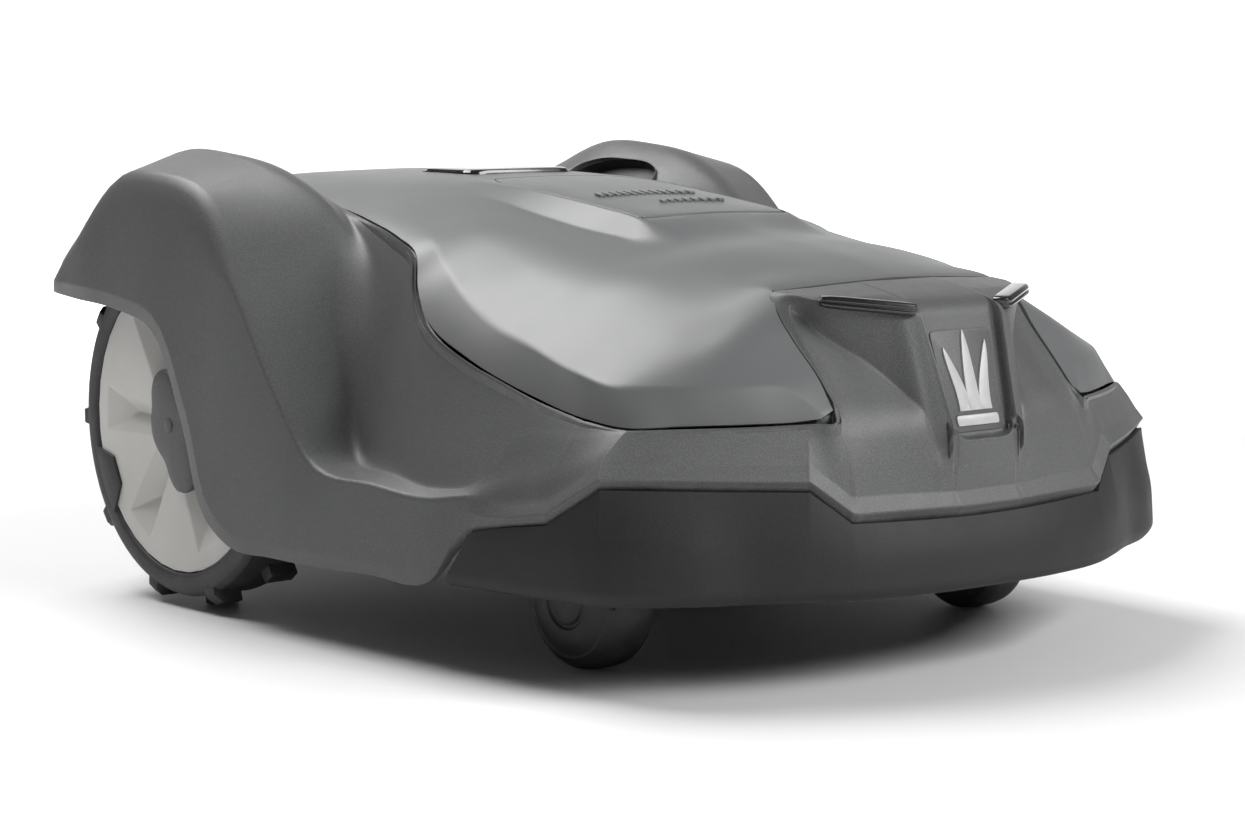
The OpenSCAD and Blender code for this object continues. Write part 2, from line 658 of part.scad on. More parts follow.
module cutting_disc() {
    color([0.2, 0.2, 0.2]) difference() {
        union() {
            at_cutter(disc_z) cylinder(h = 3, r = cut_disc_r);
            at_cutter(disc_z) cylinder(h = 16, r = 20);
            for (a = [30:60:330]) at_cutter(disc_z + 2) rotate(a) translate([18, -2, 0]) cube([68, 4, 4]);
        }
        at_cutter(disc_z - 1) cylinder(h = 20, r = spindle_r);
        for (k = [0:blade_count - 1]) translate([pivot(k)[0], pivot(k)[1], disc_z - 1]) cylinder(h = 10, r = 2.8);
    }
}

module blade(k) {
    a = 90 + 360 * k / blade_count;
    color("silver") translate([pivot(k)[0], pivot(k)[1], blade_z - 0.5]) rotate(a) difference() {
        translate([-8, -9]) linear_extrude(1)
            polygon([[2, 0], [0, 2], [0, 16], [2, 18], [blade_l - 3, 18], [blade_l, 15], [blade_l, 3], [blade_l - 3, 0]]);
        translate([0, 0, -1]) cylinder(h = 3, r = 2.8 + run_fit);
    }
}
module blade_1() { blade(0); }
module blade_2() { blade(1); }
module blade_3() { blade(2); }

module blade_screws() {
    color("gold") for (k = [0:blade_count - 1]) translate([pivot(k)[0], pivot(k)[1], 0]) {
        translate([0, 0, 55]) cylinder(h = 3, r = 5.5);
        translate([0, 0, 57]) cylinder(h = 9, r = 2.8);
    }
}

// Free-turning plate that glides on the lawn below the disc
module skid_plate() {
    color([0.2, 0.2, 0.2]) difference() {
        union() {
            at_cutter(47) cylinder(h = 3, r = 78);
            at_cutter(47) cylinder(h = 12, r = 14);
        }
        at_cutter(40) cylinder(h = 30, r = spindle_r + run_fit);
        for (a = [0:45:315]) at_cutter(40) rotate(a) translate([52, 0, 0]) cylinder(h = 20, r = 9);
    }
}

// ---- rear wheels: turned about the X axis ----
module along_x(side, from) {
    translate([side * from, axle_y, axle_z]) rotate([0, side * 90, 0]) children();
}

module wheel_motor(side) {
    color("dimgray") difference() {
        union() {
            along_x(side, 130) cylinder(h = 55, r = 33);
            along_x(side, 72) cylinder(h = 60, r = 20);
            along_x(side, 184) cylinder(h = 3, r = 15);
        }
        along_x(side, 155) cylinder(h = 60, r = shaft_r + run_fit);
    }
}
module wheel_motor_left() { wheel_motor(-1); }
module wheel_motor_right() { wheel_motor(1); }

module drive_shaft(side) {
    color("silver") along_x(side, 156) cylinder(h = 86, r = shaft_r);
}
module drive_shaft_left() { drive_shaft(-1); }
module drive_shaft_right() { drive_shaft(1); }

wheel_in = wheel_x - wheel_w / 2;

// Half section of the wheel disc: radius, then distance from the wheel's inner face
module wheel_disc(side) {
    color([0.8, 0.79, 0.76]) along_x(side, wheel_in) difference() {
        rotate_extrude() polygon([
            [shaft_r, 6], [22, 6], [24, 26], [88, 22], [90, 4], [disc_r, 4],
            [disc_r, wheel_w - 2], [92, wheel_w - 2], [86, wheel_w - 10], [30, wheel_w - 6],
            [26, wheel_w - 8], [shaft_r, wheel_w - 8]]);
        for (a = [0:120:240], b = [-26, 26]) {
            rotate(a + b) translate([56, 0, wheel_w - 10]) rotate([0, -6, 0]) cylinder(h = 20, r = 18, $fn = 3);
        }
    }
}
module wheel_disc_left() { wheel_disc(-1); }
module wheel_disc_right() { wheel_disc(1); }

module tyre(side) {
    color([0.1, 0.1, 0.1]) along_x(side, wheel_in) {
        rotate_extrude() polygon([
            [disc_r, 2], [tyre_r - 4, 0], [tyre_r, 4], [tyre_r, wheel_w - 4],
            [tyre_r - 4, wheel_w], [disc_r, wheel_w]]);
        for (k = [0:lug_count - 1]) rotate([90, 0, 360 * k / lug_count])
            linear_extrude(11, center = true) polygon([
                [tyre_r - 3, 2], [tyre_r + lug_h, 2], [tyre_r + lug_h, wheel_w - 10],
                [tyre_r + lug_h - 6, wheel_w - 2.5], [tyre_r - 3, wheel_w - 2.5]]);
    }
}
module tyre_left() { tyre(-1); }
module tyre_right() { tyre(1); }

// Long hub cap: a round boss with two lobes
module wheel_cap(side) {
    lobe_a = [side * 113, side * 284];
    color("dimgray") along_x(side, wheel_in + wheel_w - 8) {
        cylinder(h = 11, r = 25);
        for (a = lobe_a) rotate(a - 90 * side + 90) {
            translate([0, -13, 2.2]) cube([34, 26, 6.8]);
            translate([34, 0, 2.2]) cylinder(h = 6.8, r = 13);
        }
    }
}
module wheel_cap_left() { wheel_cap(-1); }
module wheel_cap_right() { wheel_cap(1); }

// ---- front castors ----
fork_top_z = 103;
arm_t = 7;
arm_x = castor_x - castor_w / 2 - 2 - arm_t;    // inner face of the fork's arm
stem_r = 6;
castor_axle_r = 5;

module castor_fork(side) {
    color([0.2, 0.2, 0.2]) mirror([side < 0 ? 1 : 0, 0, 0]) difference() {
        union() {
            translate([castor_x, castor_y, fork_top_z - 6]) cylinder(h = 6, r = 13);
            translate([castor_x, castor_y, fork_top_z - 2]) cylinder(h = 39, r = stem_r);
            translate([arm_x, castor_y - 10, fork_top_z - 6]) cube([castor_x - arm_x, 20, 6]);
            translate([arm_x, castor_axle_y, castor_r]) rotate([0, 90, 0]) cylinder(h = arm_t, r = 12);
            translate([arm_x, 0, 0]) rotate([90, 0, 90]) linear_extrude(arm_t) polygon([
                [castor_y - 10, fork_top_z], [castor_y + 10, fork_top_z],
                [castor_axle_y + 12, castor_r], [castor_axle_y - 12, castor_r]]);
        }
        translate([arm_x - 1, castor_axle_y, castor_r]) rotate([0, 90, 0]) cylinder(h = arm_t + 2, r = castor_axle_r);
    }
}
module castor_fork_left() { castor_fork(-1); }
module castor_fork_right() { castor_fork(1); }

// Flanged plastic bushes, two in each boss of the pan
module castor_bushes() {
    color("white") both([[castor_x, castor_y]]) difference() {
        union() {
            for (z = [floor_front_z - 2, floor_front_z + 32]) translate([0, 0, z]) cylinder(h = 2, r = 12);
            for (z = [floor_front_z - 1, floor_front_z + 22]) translate([0, 0, z]) cylinder(h = 11, r = 9);
        }
        translate([0, 0, 90]) cylinder(h = 60, r = stem_r + run_fit);
    }
}

module castor_axle(side) {
    color("silver") translate([side * arm_x, castor_axle_y, castor_r]) rotate([0, side * 90, 0]) {
        cylinder(h = arm_t + castor_w - 4, r = castor_axle_r);
        translate([0, 0, -2]) cylinder(h = 2, r = 8);
    }
}
module castor_axles_left() { castor_axle(-1); }
module castor_axles_right() { castor_axle(1); }

// Castor wheel with a crowned tread and a domed outer side
module castor_wheel(side) {
    color([0.12, 0.12, 0.12]) translate([side * (castor_x - castor_w / 2), castor_axle_y, castor_r])
        rotate([0, side * 90, 0]) rotate_extrude() polygon([
            [castor_axle_r + run_fit, 0], [castor_r - 8, 0], [castor_r - 3, 3], [castor_r, 11],
            [castor_r, castor_w - 14], [castor_r - 3, castor_w - 7], [castor_r - 9, castor_w - 2],
            [17, castor_w - 0.5], [16, castor_w - 2], [15, castor_w], [0, castor_w],
            [0, castor_w - 5], [castor_axle_r + run_fit, castor_w - 5]]);
}
module castor_wheel_left() { castor_wheel(-1); }
module castor_wheel_right() { castor_wheel(1); }

body_shell();
top_cover();
nose_housing();
emblem_panel();
emblem();
headlight_left();
headlight_right();
front_bumper();
hatch();
hatch_hinge_pin();
hatch_frame();
stop_button();
stop_button_guide();
rear_handle();
chassis_pan();
chassis_deck();
chassis_seal();
chassis_screws();
suspension_boots();
battery_pack();
battery_door();
battery_door_screws();
main_board();
main_switch();
switch_pin();
charging_contacts();
control_panel();
display();
start_button();
home_button();
up_button();
down_button();
height_knob();
cutter_carriage();
cutter_motor();
cutter_shaft();
cutting_disc();
blade_1();
blade_2();
blade_3();
blade_screws();
skid_plate();
wheel_motor_left();
wheel_motor_right();
drive_shaft_left();
drive_shaft_right();
wheel_disc_left();
wheel_disc_right();
tyre_left();
tyre_right();
wheel_cap_left();
wheel_cap_right();
castor_fork_left();
castor_fork_right();
castor_bushes();
castor_axles_left();
castor_axles_right();
castor_wheel_left();
castor_wheel_right();
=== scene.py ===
"""Looks of a robotic lawn mower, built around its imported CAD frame.

Lengths in the shape tables are millimetres; mesh() turns them into metres.
"""
import json
import math

import bmesh
import bpy
import numpy as np
from mathutils import Matrix, Vector


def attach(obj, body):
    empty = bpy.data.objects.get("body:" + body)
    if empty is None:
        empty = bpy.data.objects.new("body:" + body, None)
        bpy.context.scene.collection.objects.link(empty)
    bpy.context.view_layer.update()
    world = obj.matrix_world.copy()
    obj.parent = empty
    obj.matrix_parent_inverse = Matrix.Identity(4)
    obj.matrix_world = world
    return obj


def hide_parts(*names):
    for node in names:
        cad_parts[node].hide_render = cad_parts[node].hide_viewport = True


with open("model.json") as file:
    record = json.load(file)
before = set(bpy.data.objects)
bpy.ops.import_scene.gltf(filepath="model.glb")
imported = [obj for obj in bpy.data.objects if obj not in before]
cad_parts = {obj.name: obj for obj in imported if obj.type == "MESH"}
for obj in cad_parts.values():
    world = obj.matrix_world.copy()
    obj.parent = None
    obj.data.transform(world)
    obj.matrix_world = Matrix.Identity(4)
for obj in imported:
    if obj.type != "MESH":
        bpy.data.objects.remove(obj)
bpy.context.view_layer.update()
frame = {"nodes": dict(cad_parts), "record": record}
nodes = frame["nodes"]
MM = 0.001
SIDES = (("left", -1), ("right", 1))
CORNER_STEPS = 5        # pieces of the curve that replaces a corner of a surface


# ---------- mesh helpers

def unit(v):
    return v / max(np.linalg.norm(v), 1e-9)


def spline(points, steps, closed=False):
    """Smooth curve through points that are unevenly spaced, as an array."""
    p = np.array(points, float)
    n = len(p)
    wrap = (lambda i: i % n) if closed else (lambda i: min(max(i, 0), n - 1))

    def tangent(i):
        before, here, after = p[wrap(i - 1)], p[wrap(i)], p[wrap(i + 1)]
        h0 = max(np.linalg.norm(here - before), 1e-6)
        h1 = max(np.linalg.norm(after - here), 1e-6)
        if wrap(i - 1) == wrap(i):
            return (after - here) / h1
        if wrap(i + 1) == wrap(i):
            return (here - before) / h0
        return ((here - before) / h0 * h1 + (after - here) / h1 * h0) / (h0 + h1)

    out = []
    for i in range(n if closed else n - 1):
        a, b = p[i], p[wrap(i + 1)]
        h = np.linalg.norm(b - a)
        ta, tb = tangent(i) * h, tangent(i + 1) * h
        for k in range(steps):
            t = k / steps
            out.append((2 * t**3 - 3 * t**2 + 1) * a + (t**3 - 2 * t**2 + t) * ta
                       + (3 * t**2 - 2 * t**3) * b + (t**3 - t**2) * tb)
    if not closed:
        out.append(p[-1])
    return np.array(out)


def corner_curve(before, corner, after, radius, steps):
    """Short curve in place of a corner, starting at a radius from it on both sides."""
    back, ahead = before - corner, after - corner
    a = corner + unit(back) * min(radius, 0.49 * np.linalg.norm(back))
    b = corner + unit(ahead) * min(radius, 0.49 * np.linalg.norm(ahead))
    return [(1 - t)**2 * a + 2 * t * (1 - t) * corner + t * t * b for t in np.arange(steps + 1) / steps]


def rounded(line, radii):
    """Polyline with each inner corner turned into a short curve."""
    out = [line[0]]
    for k in range(1, len(line) - 1):
        out += corner_curve(line[k - 1], line[k], line[k + 1], radii[k - 1], CORNER_STEPS)
    out.append(line[-1])
    return np.array(out)


def surface(rows, radii, steps, closed=False):
    """Fine grid from rows of points. The rows are joined by splines, their corners rounded.

    radii holds one list per row: the rounding of that row's inner points.
    """
    rows = np.array(rows, float)
    lines = np.stack([spline(rows[:, j], steps, closed) for j in range(rows.shape[1])], 1)
    radii = np.array(radii, float)
    soft = np.stack([spline(np.stack([radii[:, j]] * 3, 1), steps, closed)[:, 0]
                     for j in range(radii.shape[1])], 1)
    return np.array([rounded(line, np.maximum(r, 0.2)) for line, r in zip(lines, soft)])


def mesh(name, points, faces, smooth_angle=35):
    """Object from points in millimetres."""
    data = bpy.data.meshes.new(name)
    data.from_pydata([tuple(float(c) * MM for c in p) for p in points], [], faces)
    data.validate()
    made = bpy.data.objects.new(name, data)
    bpy.context.scene.collection.objects.link(made)
    bm = bmesh.new()
    bm.from_mesh(data)
    bmesh.ops.remove_doubles(bm, verts=bm.verts, dist=0.00001)
    bmesh.ops.recalc_face_normals(bm, faces=bm.faces)
    bm.to_mesh(data)
    bm.free()
    smooth(made, smooth_angle)
    return made


def smooth(piece, angle):
    piece.data.polygons.foreach_set("use_smooth", [True] * len(piece.data.polygons))
    piece.data.set_sharp_from_angle(angle=math.radians(angle))


def grid_mesh(name, grid, closed=False, skip=None, smooth_angle=35):
    """Open sheet from a grid of points; skip(i, j) leaves a cell out."""
    n, m = grid.shape[:2]
    faces = []
    for i in range(n if closed else n - 1):
        for j in range(m - 1):
            if skip and skip(i, j):
                continue
            a, b = i * m + j, ((i + 1) % n) * m + j
            faces.append((a, b, b + 1, a + 1))
    return mesh(name, grid.reshape(-1, 3), faces, smooth_angle)


def settle(piece, smooth_angle=35):
    """Applies every modifier of a piece."""
    graph = bpy.context.evaluated_depsgraph_get()
    piece.data = bpy.data.meshes.new_from_object(piece.evaluated_get(graph))
    piece.modifiers.clear()
    smooth(piece, smooth_angle)
    return piece


def thicken(piece, depth):
    """Gives a sheet a wall, on the side away from its normals."""
    wall = piece.modifiers.new("wall", "SOLIDIFY")
    wall.thickness = depth * MM
    wall.offset = -1
    return settle(piece)


def soften(piece, width, segments=2, angle=40, smooth_angle=35):
    """Small round on every edge sharper than the angle."""
    edge = piece.modifiers.new("edge", "BEVEL")
    edge.width = width * MM
    edge.segments = segments
    edge.limit_method = "ANGLE"
    edge.angle_limit = math.radians(angle)
    edge.use_clamp_overlap = True
    return settle(piece, smooth_angle)


def face_outwards(piece, centre):
    """Turns a sheet's normals away from a point given in millimetres."""
    data = piece.data
    away = sum((f.center - Vector(centre) * MM).dot(f.normal) * f.area for f in data.polygons)
    if away < 0:
        data.flip_normals()
    return piece


def carve(piece, tool, keep=False):
    """Cuts the tool out of a piece, or keeps only what lies inside it."""
    cut = piece.modifiers.new("cut", "BOOLEAN")
    cut.operation = "INTERSECT" if keep else "DIFFERENCE"
    cut.solver = "EXACT"
    cut.object = tool
    return settle(piece)


def copy_of(piece, name):
    twin = piece.copy()
    twin.data = piece.data.copy()
    twin.name = name
    bpy.context.scene.collection.objects.link(twin)
    return twin


def discard(*tools):
    for tool in tools:
        bpy.data.objects.remove(tool)


def join(name, pieces):
    """One object from several, in their given order."""
    with bpy.context.temp_override(active_object=pieces[0], selected_editable_objects=pieces):
        bpy.ops.object.join()
    pieces[0].name = name
    return pieces[0]


def loft(name, rings, smooth_angle=35):
    """Closed solid through rings that have the same number of points."""
    n, last = len(rings[0]), len(rings) - 1
    faces = [(a * n + k, a * n + (k + 1) % n, (a + 1) * n + (k + 1) % n, (a + 1) * n + k)
             for a in range(last) for k in range(n)]
    faces += [tuple(range(n))[::-1], tuple(range(last * n, (last + 1) * n))]
    return mesh(name, [p for ring in rings for p in ring], faces, smooth_angle)


def prism(name, outline, low, high):
    """Upright prism over an outline in plan."""
    return loft(name, [[(x, y, z) for x, y in outline] for z in (low, high)])


def round_outline(corners, radii, steps=6):
    """Closed outline with rounded corners; radii is one number or a list of one per corner."""
    p = [np.array(corner, float) for corner in corners]
    n = len(p)
    radii = radii if isinstance(radii, list) else [radii] * n
    return [tuple(q) for k in range(n)
            for q in corner_curve(p[k - 1], p[k], p[(k + 1) % n], radii[k], steps)]


def about_z(r, angle, z):
    """Point at a radius and an angle in degrees about Z."""
    a = math.radians(angle)
    return (r * math.cos(a), r * math.sin(a), z)


def revolve(name, profile, turns, spot=about_z):
    """Sheet swept by (radius, height) points; spot places a radius, an angle and a height."""
    grid = np.array([[spot(r, 360 * k / turns, z) for r, z in profile] for k in range(turns)])
    return grid_mesh(name, grid, closed=True, smooth_angle=30)


def place(piece, matrix):
    """Moves a piece's own points; the matrix is in millimetres."""
    scaled = matrix.copy()
    scaled.translation = scaled.translation * MM
    piece.data.transform(scaled)
    if matrix.determinant() < 0:
        piece.data.flip_normals()
    return piece


def finish_piece(piece, body, slot, *replaced):
    """Material, body, slot and the CAD nodes that a piece stands for."""
    piece.data.materials.clear()
    piece.data.materials.append(MATERIALS[slot])
    for face in piece.data.polygons:
        face.material_index = 0
    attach(piece, body)
    if replaced:
        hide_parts(*replaced)
    return piece


# ---------- materials

class Graph:
    """Node tree of a new material or world, with short calls for the nodes used here."""

    def __init__(self, name, owners=bpy.data.materials, shader="Principled BSDF", place="Object"):
        self.owner = owners.new(name)
        self.owner.use_nodes = True
        self.nodes = self.owner.node_tree.nodes
        self.links = self.owner.node_tree.links
        self.shader = self.nodes[shader]
        self.place = self.add("ShaderNodeTexCoord").outputs[place]

    def add(self, kind, **settings):
        node = self.nodes.new(kind)
        for key, value in settings.items():
            setattr(node, key, value)
        return node

    def wire(self, source, target):
        self.links.new(source, target)

    def noise(self, scale, detail=3, stretch=None, roughness=0.5):
        node = self.add("ShaderNodeTexNoise")
        node.inputs["Scale"].default_value = scale
        node.inputs["Detail"].default_value = detail
        node.inputs["Roughness"].default_value = roughness
        source = self.place
        if stretch:
            squeeze = self.add("ShaderNodeMapping")
            squeeze.inputs["Scale"].default_value = stretch
            self.wire(source, squeeze.inputs["Vector"])
            source = squeeze.outputs["Vector"]
        self.wire(source, node.inputs["Vector"])
        return node.outputs["Fac"]

    def spots(self, scale):
        node = self.add("ShaderNodeTexVoronoi")
        node.inputs["Scale"].default_value = scale
        self.wire(self.place, node.inputs["Vector"])
        return node.outputs["Distance"]

    def ramp(self, source, stops):
        """Grey ramp through (position, value) stops."""
        node = self.add("ShaderNodeValToRGB")
        band = node.color_ramp
        while len(band.elements) < len(stops):
            band.elements.new(0.5)
        for element, (at, value) in zip(band.elements, stops):
            element.position = at
            element.color = (value, value, value, 1)
        self.wire(source, node.inputs["Fac"])
        return node.outputs["Color"]

    def mix(self, factor, a, b, mode="MIX"):
        node = self.add("ShaderNodeMix", data_type="RGBA", blend_type=mode)
        for socket, value in ((node.inputs["Factor"], factor), (node.inputs[6], a), (node.inputs[7], b)):
            if isinstance(value, bpy.types.NodeSocket):
                self.wire(value, socket)
            elif socket.type == "RGBA":
                socket.default_value = tuple(value) + (1,)
            else:
                socket.default_value = value
        return node.outputs[2]

    def scale_to(self, source, low, high, start=0.0, end=1.0):
        """Maps what lies between start and end onto low to high."""
        node = self.add("ShaderNodeMapRange")
        for socket, value in (("From Min", start), ("From Max", end), ("To Min", low), ("To Max", high)):
            node.inputs[socket].default_value = value
        self.wire(source, node.inputs["Value"])
        return node.outputs["Result"]

    def bump(self, source, strength, distance, below=None):
        node = self.add("ShaderNodeBump")
        node.inputs["Strength"].default_value = strength
        node.inputs["Distance"].default_value = distance
        self.wire(source, node.inputs["Height"])
        if below:
            self.wire(below, node.inputs["Normal"])
        return node.outputs["Normal"]

    def wear(self):
        """1 along raised edges, broken up by noise."""
        shape = self.add("ShaderNodeNewGeometry").outputs["Pointiness"]
        edge = self.ramp(shape, ((0.52, 0.0), (0.60, 1.0)))
        return self.mix(1.0, edge, self.ramp(self.noise(140, 4), ((0.35, 0.0), (0.65, 1.0))), "MULTIPLY")

    def set(self, values):
        """Plain values of the shader's sockets."""
        for socket, value in values.items():
            self.shader.inputs[socket].default_value = value

    def finish(self, color, rough, normal):
        """Wires the shader to its three sources and returns the material."""
        for socket, source in (("Base Color", color), ("Roughness", rough), ("Normal", normal)):
            self.wire(source, self.shader.inputs[socket])
        return self.owner


def shade(color, factor):
    return tuple(min(c * factor, 1.0) for c in color)


def grained_plastic(name, color, grain=1500, depth=0.00016, rough=(0.42, 0.58), specular=0.5,
                    sparkle=0.35):
    """Moulded plastic with a fine leathery grain, cloudy tone and paler rubbed edges."""
    g = Graph(name)
    g.set({"Specular IOR Level": specular})
    fine = g.noise(grain, 2, roughness=0.6)
    cloud = g.noise(9, 4)
    tone = g.mix(g.ramp(cloud, ((0.3, 0.0), (0.7, 1.0))), shade(color, 0.74), shade(color, 0.88))
    tone = g.mix(g.scale_to(g.ramp(fine, ((0.45, 0.0), (0.72, 1.0))), 0.0, sparkle), tone, shade(color, 2.4))
    tone = g.mix(g.scale_to(g.wear(), 0.0, 0.35), tone, shade(color, 1.7))
    pits = g.bump(fine, 0.8, depth)
    leather = g.bump(g.noise(grain * 0.35, 2), 0.25, depth * 1.6, pits)
    return g.finish(tone, g.scale_to(g.noise(60, 3), *rough), leather)


def painted_cover(name, color):
    """Smooth paint with a faint orange peel, tiny flakes and a soft coat."""
    g = Graph(name)
    g.set({"Coat Weight": 0.12, "Coat Roughness": 0.3, "Specular IOR Level": 0.42})
    flakes = g.ramp(g.noise(2600, 1), ((0.55, 0.0), (0.75, 1.0)))
    tone = g.mix(g.ramp(g.noise(5, 3), ((0.3, 0.0), (0.7, 1.0))), shade(color, 0.96), shade(color, 1.04))
    tone = g.mix(g.scale_to(flakes, 0.0, 0.12), tone, shade(color, 1.8))
    peel = g.bump(g.noise(260, 2), 0.10, 0.00010)
    grit = g.bump(g.noise(2400, 1), 0.05, 0.00003, peel)
    return g.finish(tone, g.scale_to(g.noise(35, 4), 0.40, 0.48), grit)


def rubber(name, color):
    """Dull rubber with mould speckle, dusty hollows and scuffs."""
    g = Graph(name)
    dust = g.ramp(g.noise(70, 5), ((0.45, 0.0), (0.8, 1.0)))
    tone = g.mix(g.scale_to(dust, 0.0, 0.5), shade(color, 1.5), shade(color, 3.5))
    return g.finish(tone, g.scale_to(g.noise(240, 3), 0.45, 0.65), g.bump(g.noise(1300, 3), 0.5, 0.00018))


def metal(name, color, rough=(0.22, 0.38)):
    """Brushed metal: fine parallel lines and a slight stain."""
    g = Graph(name)
    g.set({"Metallic": 1.0})
    lines = g.noise(180, 3, (1, 40, 1))
    tone = g.mix(g.ramp(g.noise(30, 4), ((0.35, 0.0), (0.7, 1.0))), shade(color, 0.85), shade(color, 1.08))
    return g.finish(tone, g.scale_to(lines, *rough), g.bump(lines, 0.15, 0.00008))


def gloss_plastic(name, color):
    """Polished plastic with faint ripples and smears."""
    g = Graph(name)
    g.set({"Coat Weight": 0.5, "Coat Roughness": 0.06})
    smear = g.ramp(g.noise(25, 5), ((0.4, 0.0), (0.75, 1.0)))
    tone = g.mix(smear, color, shade(color, 1.5))
    return g.finish(tone, g.scale_to(smear, 0.12, 0.26), g.bump(g.noise(120, 2), 0.08, 0.0001))


def circuit_board(name, color):
    """Green board with copper tracks under the solder mask."""
    g = Graph(name)
    tracks = g.ramp(g.spots(90), ((0.02, 1.0), (0.05, 0.0)))
    tone = g.mix(tracks, color, shade(color, 2.5))
    return g.finish(tone, g.scale_to(g.noise(50, 3), 0.25, 0.45), g.bump(tracks, 0.3, 0.0001))


SLOT_COLOR = {m["slot"]: tuple(m["base_color"][:3]) for m in frame["record"]["materials"]}

# Kind of finish of each slot, then what the kind takes. A grained plastic takes the grain's fineness
# and depth in metres, the range of its roughness, its specular level and its sparkle.
FINISHES = {
    "shell_plastic": (grained_plastic, 1500, 0.00016, (0.38, 0.5), 0.4),
    "cover_paint": (painted_cover,),
    "bumper_plastic": (grained_plastic, 1200, 0.0001, (0.5, 0.62), 0.3, 0.15),
    "trim_black": (gloss_plastic,),
    "emblem_grey": (grained_plastic, 1600, 0.00004, (0.3, 0.4), 0.5, 0.0),
    "chassis_plastic": (grained_plastic, 900, 0.00015, (0.5, 0.65), 0.4),
    "rubber_black": (rubber,),
    "tyre_rubber": (rubber,),
    "wheel_grey": (grained_plastic, 1400, 0.00005, (0.4, 0.52), 0.45, 0.0),
    "cap_grey": (grained_plastic, 1500, 0.00012),
    "steel": (metal,),
    "blade_steel": (metal, (0.15, 0.3)),
    "brass": (metal,),
    "bush_plastic": (grained_plastic, 1200, 0.00005, (0.4, 0.5), 0.45, 0.0),
    "board_green": (circuit_board,),
    "battery_plastic": (grained_plastic, 800, 0.0001),
    "display_glass": (gloss_plastic,),
    "orange_plastic": (grained_plastic, 1000, 0.0001, (0.4, 0.5), 0.45, 0.1),
}
MATERIALS = {slot: kind(slot, SLOT_COLOR[slot], *settings) for slot, (kind, *settings) in FINISHES.items()}

for entry in frame["record"]["subparts"]:
    carried = nodes[entry["node"]]
    carried.data.materials.clear()
    carried.data.materials.append(MATERIALS[entry["material_slot"]])


# ---------- body shell and nose

def corner_row(b, c, d, e, f, g):
    """Nine columns of a plain station, from its six corner points."""
    d, e, f, g = (np.array(p, float) for p in (d, e, f, g))
    return [b, c, d, d + (e - d) / 3, e - (e - d) / 3, e, f, (f + g) / 2, g]


FACE_FOOT = (-331.6, 144)         # (y, z) of the foot of the nose's sloping face, in the middle
FACE_UP = (0.285, 0.9585)         # its direction upwards
CHANNEL_DEPTH = 6.5               # of the channel down that face
NOSE_WIDE_BACK = (-284, 229.5)    # (y, z) behind the top edge of the nose, in the middle

# Radii at the columns C, D, W1, W2, E, F, F2 of one station
R_CHANNEL = (1, 1, 5, 1.2, 3, 9, 16)
R_NOSE_EDGE = (1, 1, 6, 6, 5, 5, 10)
R_NOSE_SIDE = (1, 1, 10, 14, 4, 1.5, 3)
R_FAN = (1, 1, 12, 14, 5, 3, 3)
R_FRONT = (1, 1, 5, 2, 1.2, 1, 1)
R_CORNER = (1, 1.2, 6, 5, 2, 1, 1)
R_SIDE = (1, 3, 10, 12, 12, 8, 6)
R_WAIST = (2, 3, 20, 20, 12, 14, 14)
R_FLANK = (1.5, 4, 20, 20, 9, 14, 12)
R_FENDER = (1.5, 26, 20, 20, 24, 22, 8)
R_FENDER_TOP = (1.5, 38, 20, 20, 30, 24, 8)
R_REAR = (2, 14, 20, 20, 30, 30, 12)


def on_face(x, up, depth):
    """Point at a height up the sloping front face of the nose, and at a depth below it."""
    return (x, FACE_FOOT[0] + up * FACE_UP[0] + depth * FACE_UP[1],
            FACE_FOOT[1] + up * FACE_UP[1] - depth * FACE_UP[0])


def channel_station(low, high, lift):
    """Station inside the channel, at x = low beside its foot and x = high beside its top."""
    return [(low, -333.4, 102.8), (low, -335.4, 105.4), (low, -330.4, 114), (low, -330.9, 124),
            on_face(low, lift, 0), on_face(low, 2.5 + lift, CHANNEL_DEPTH), on_face(high, 85, CHANNEL_DEPTH),
            (high, *NOSE_WIDE_BACK), (high, -254, 235)]


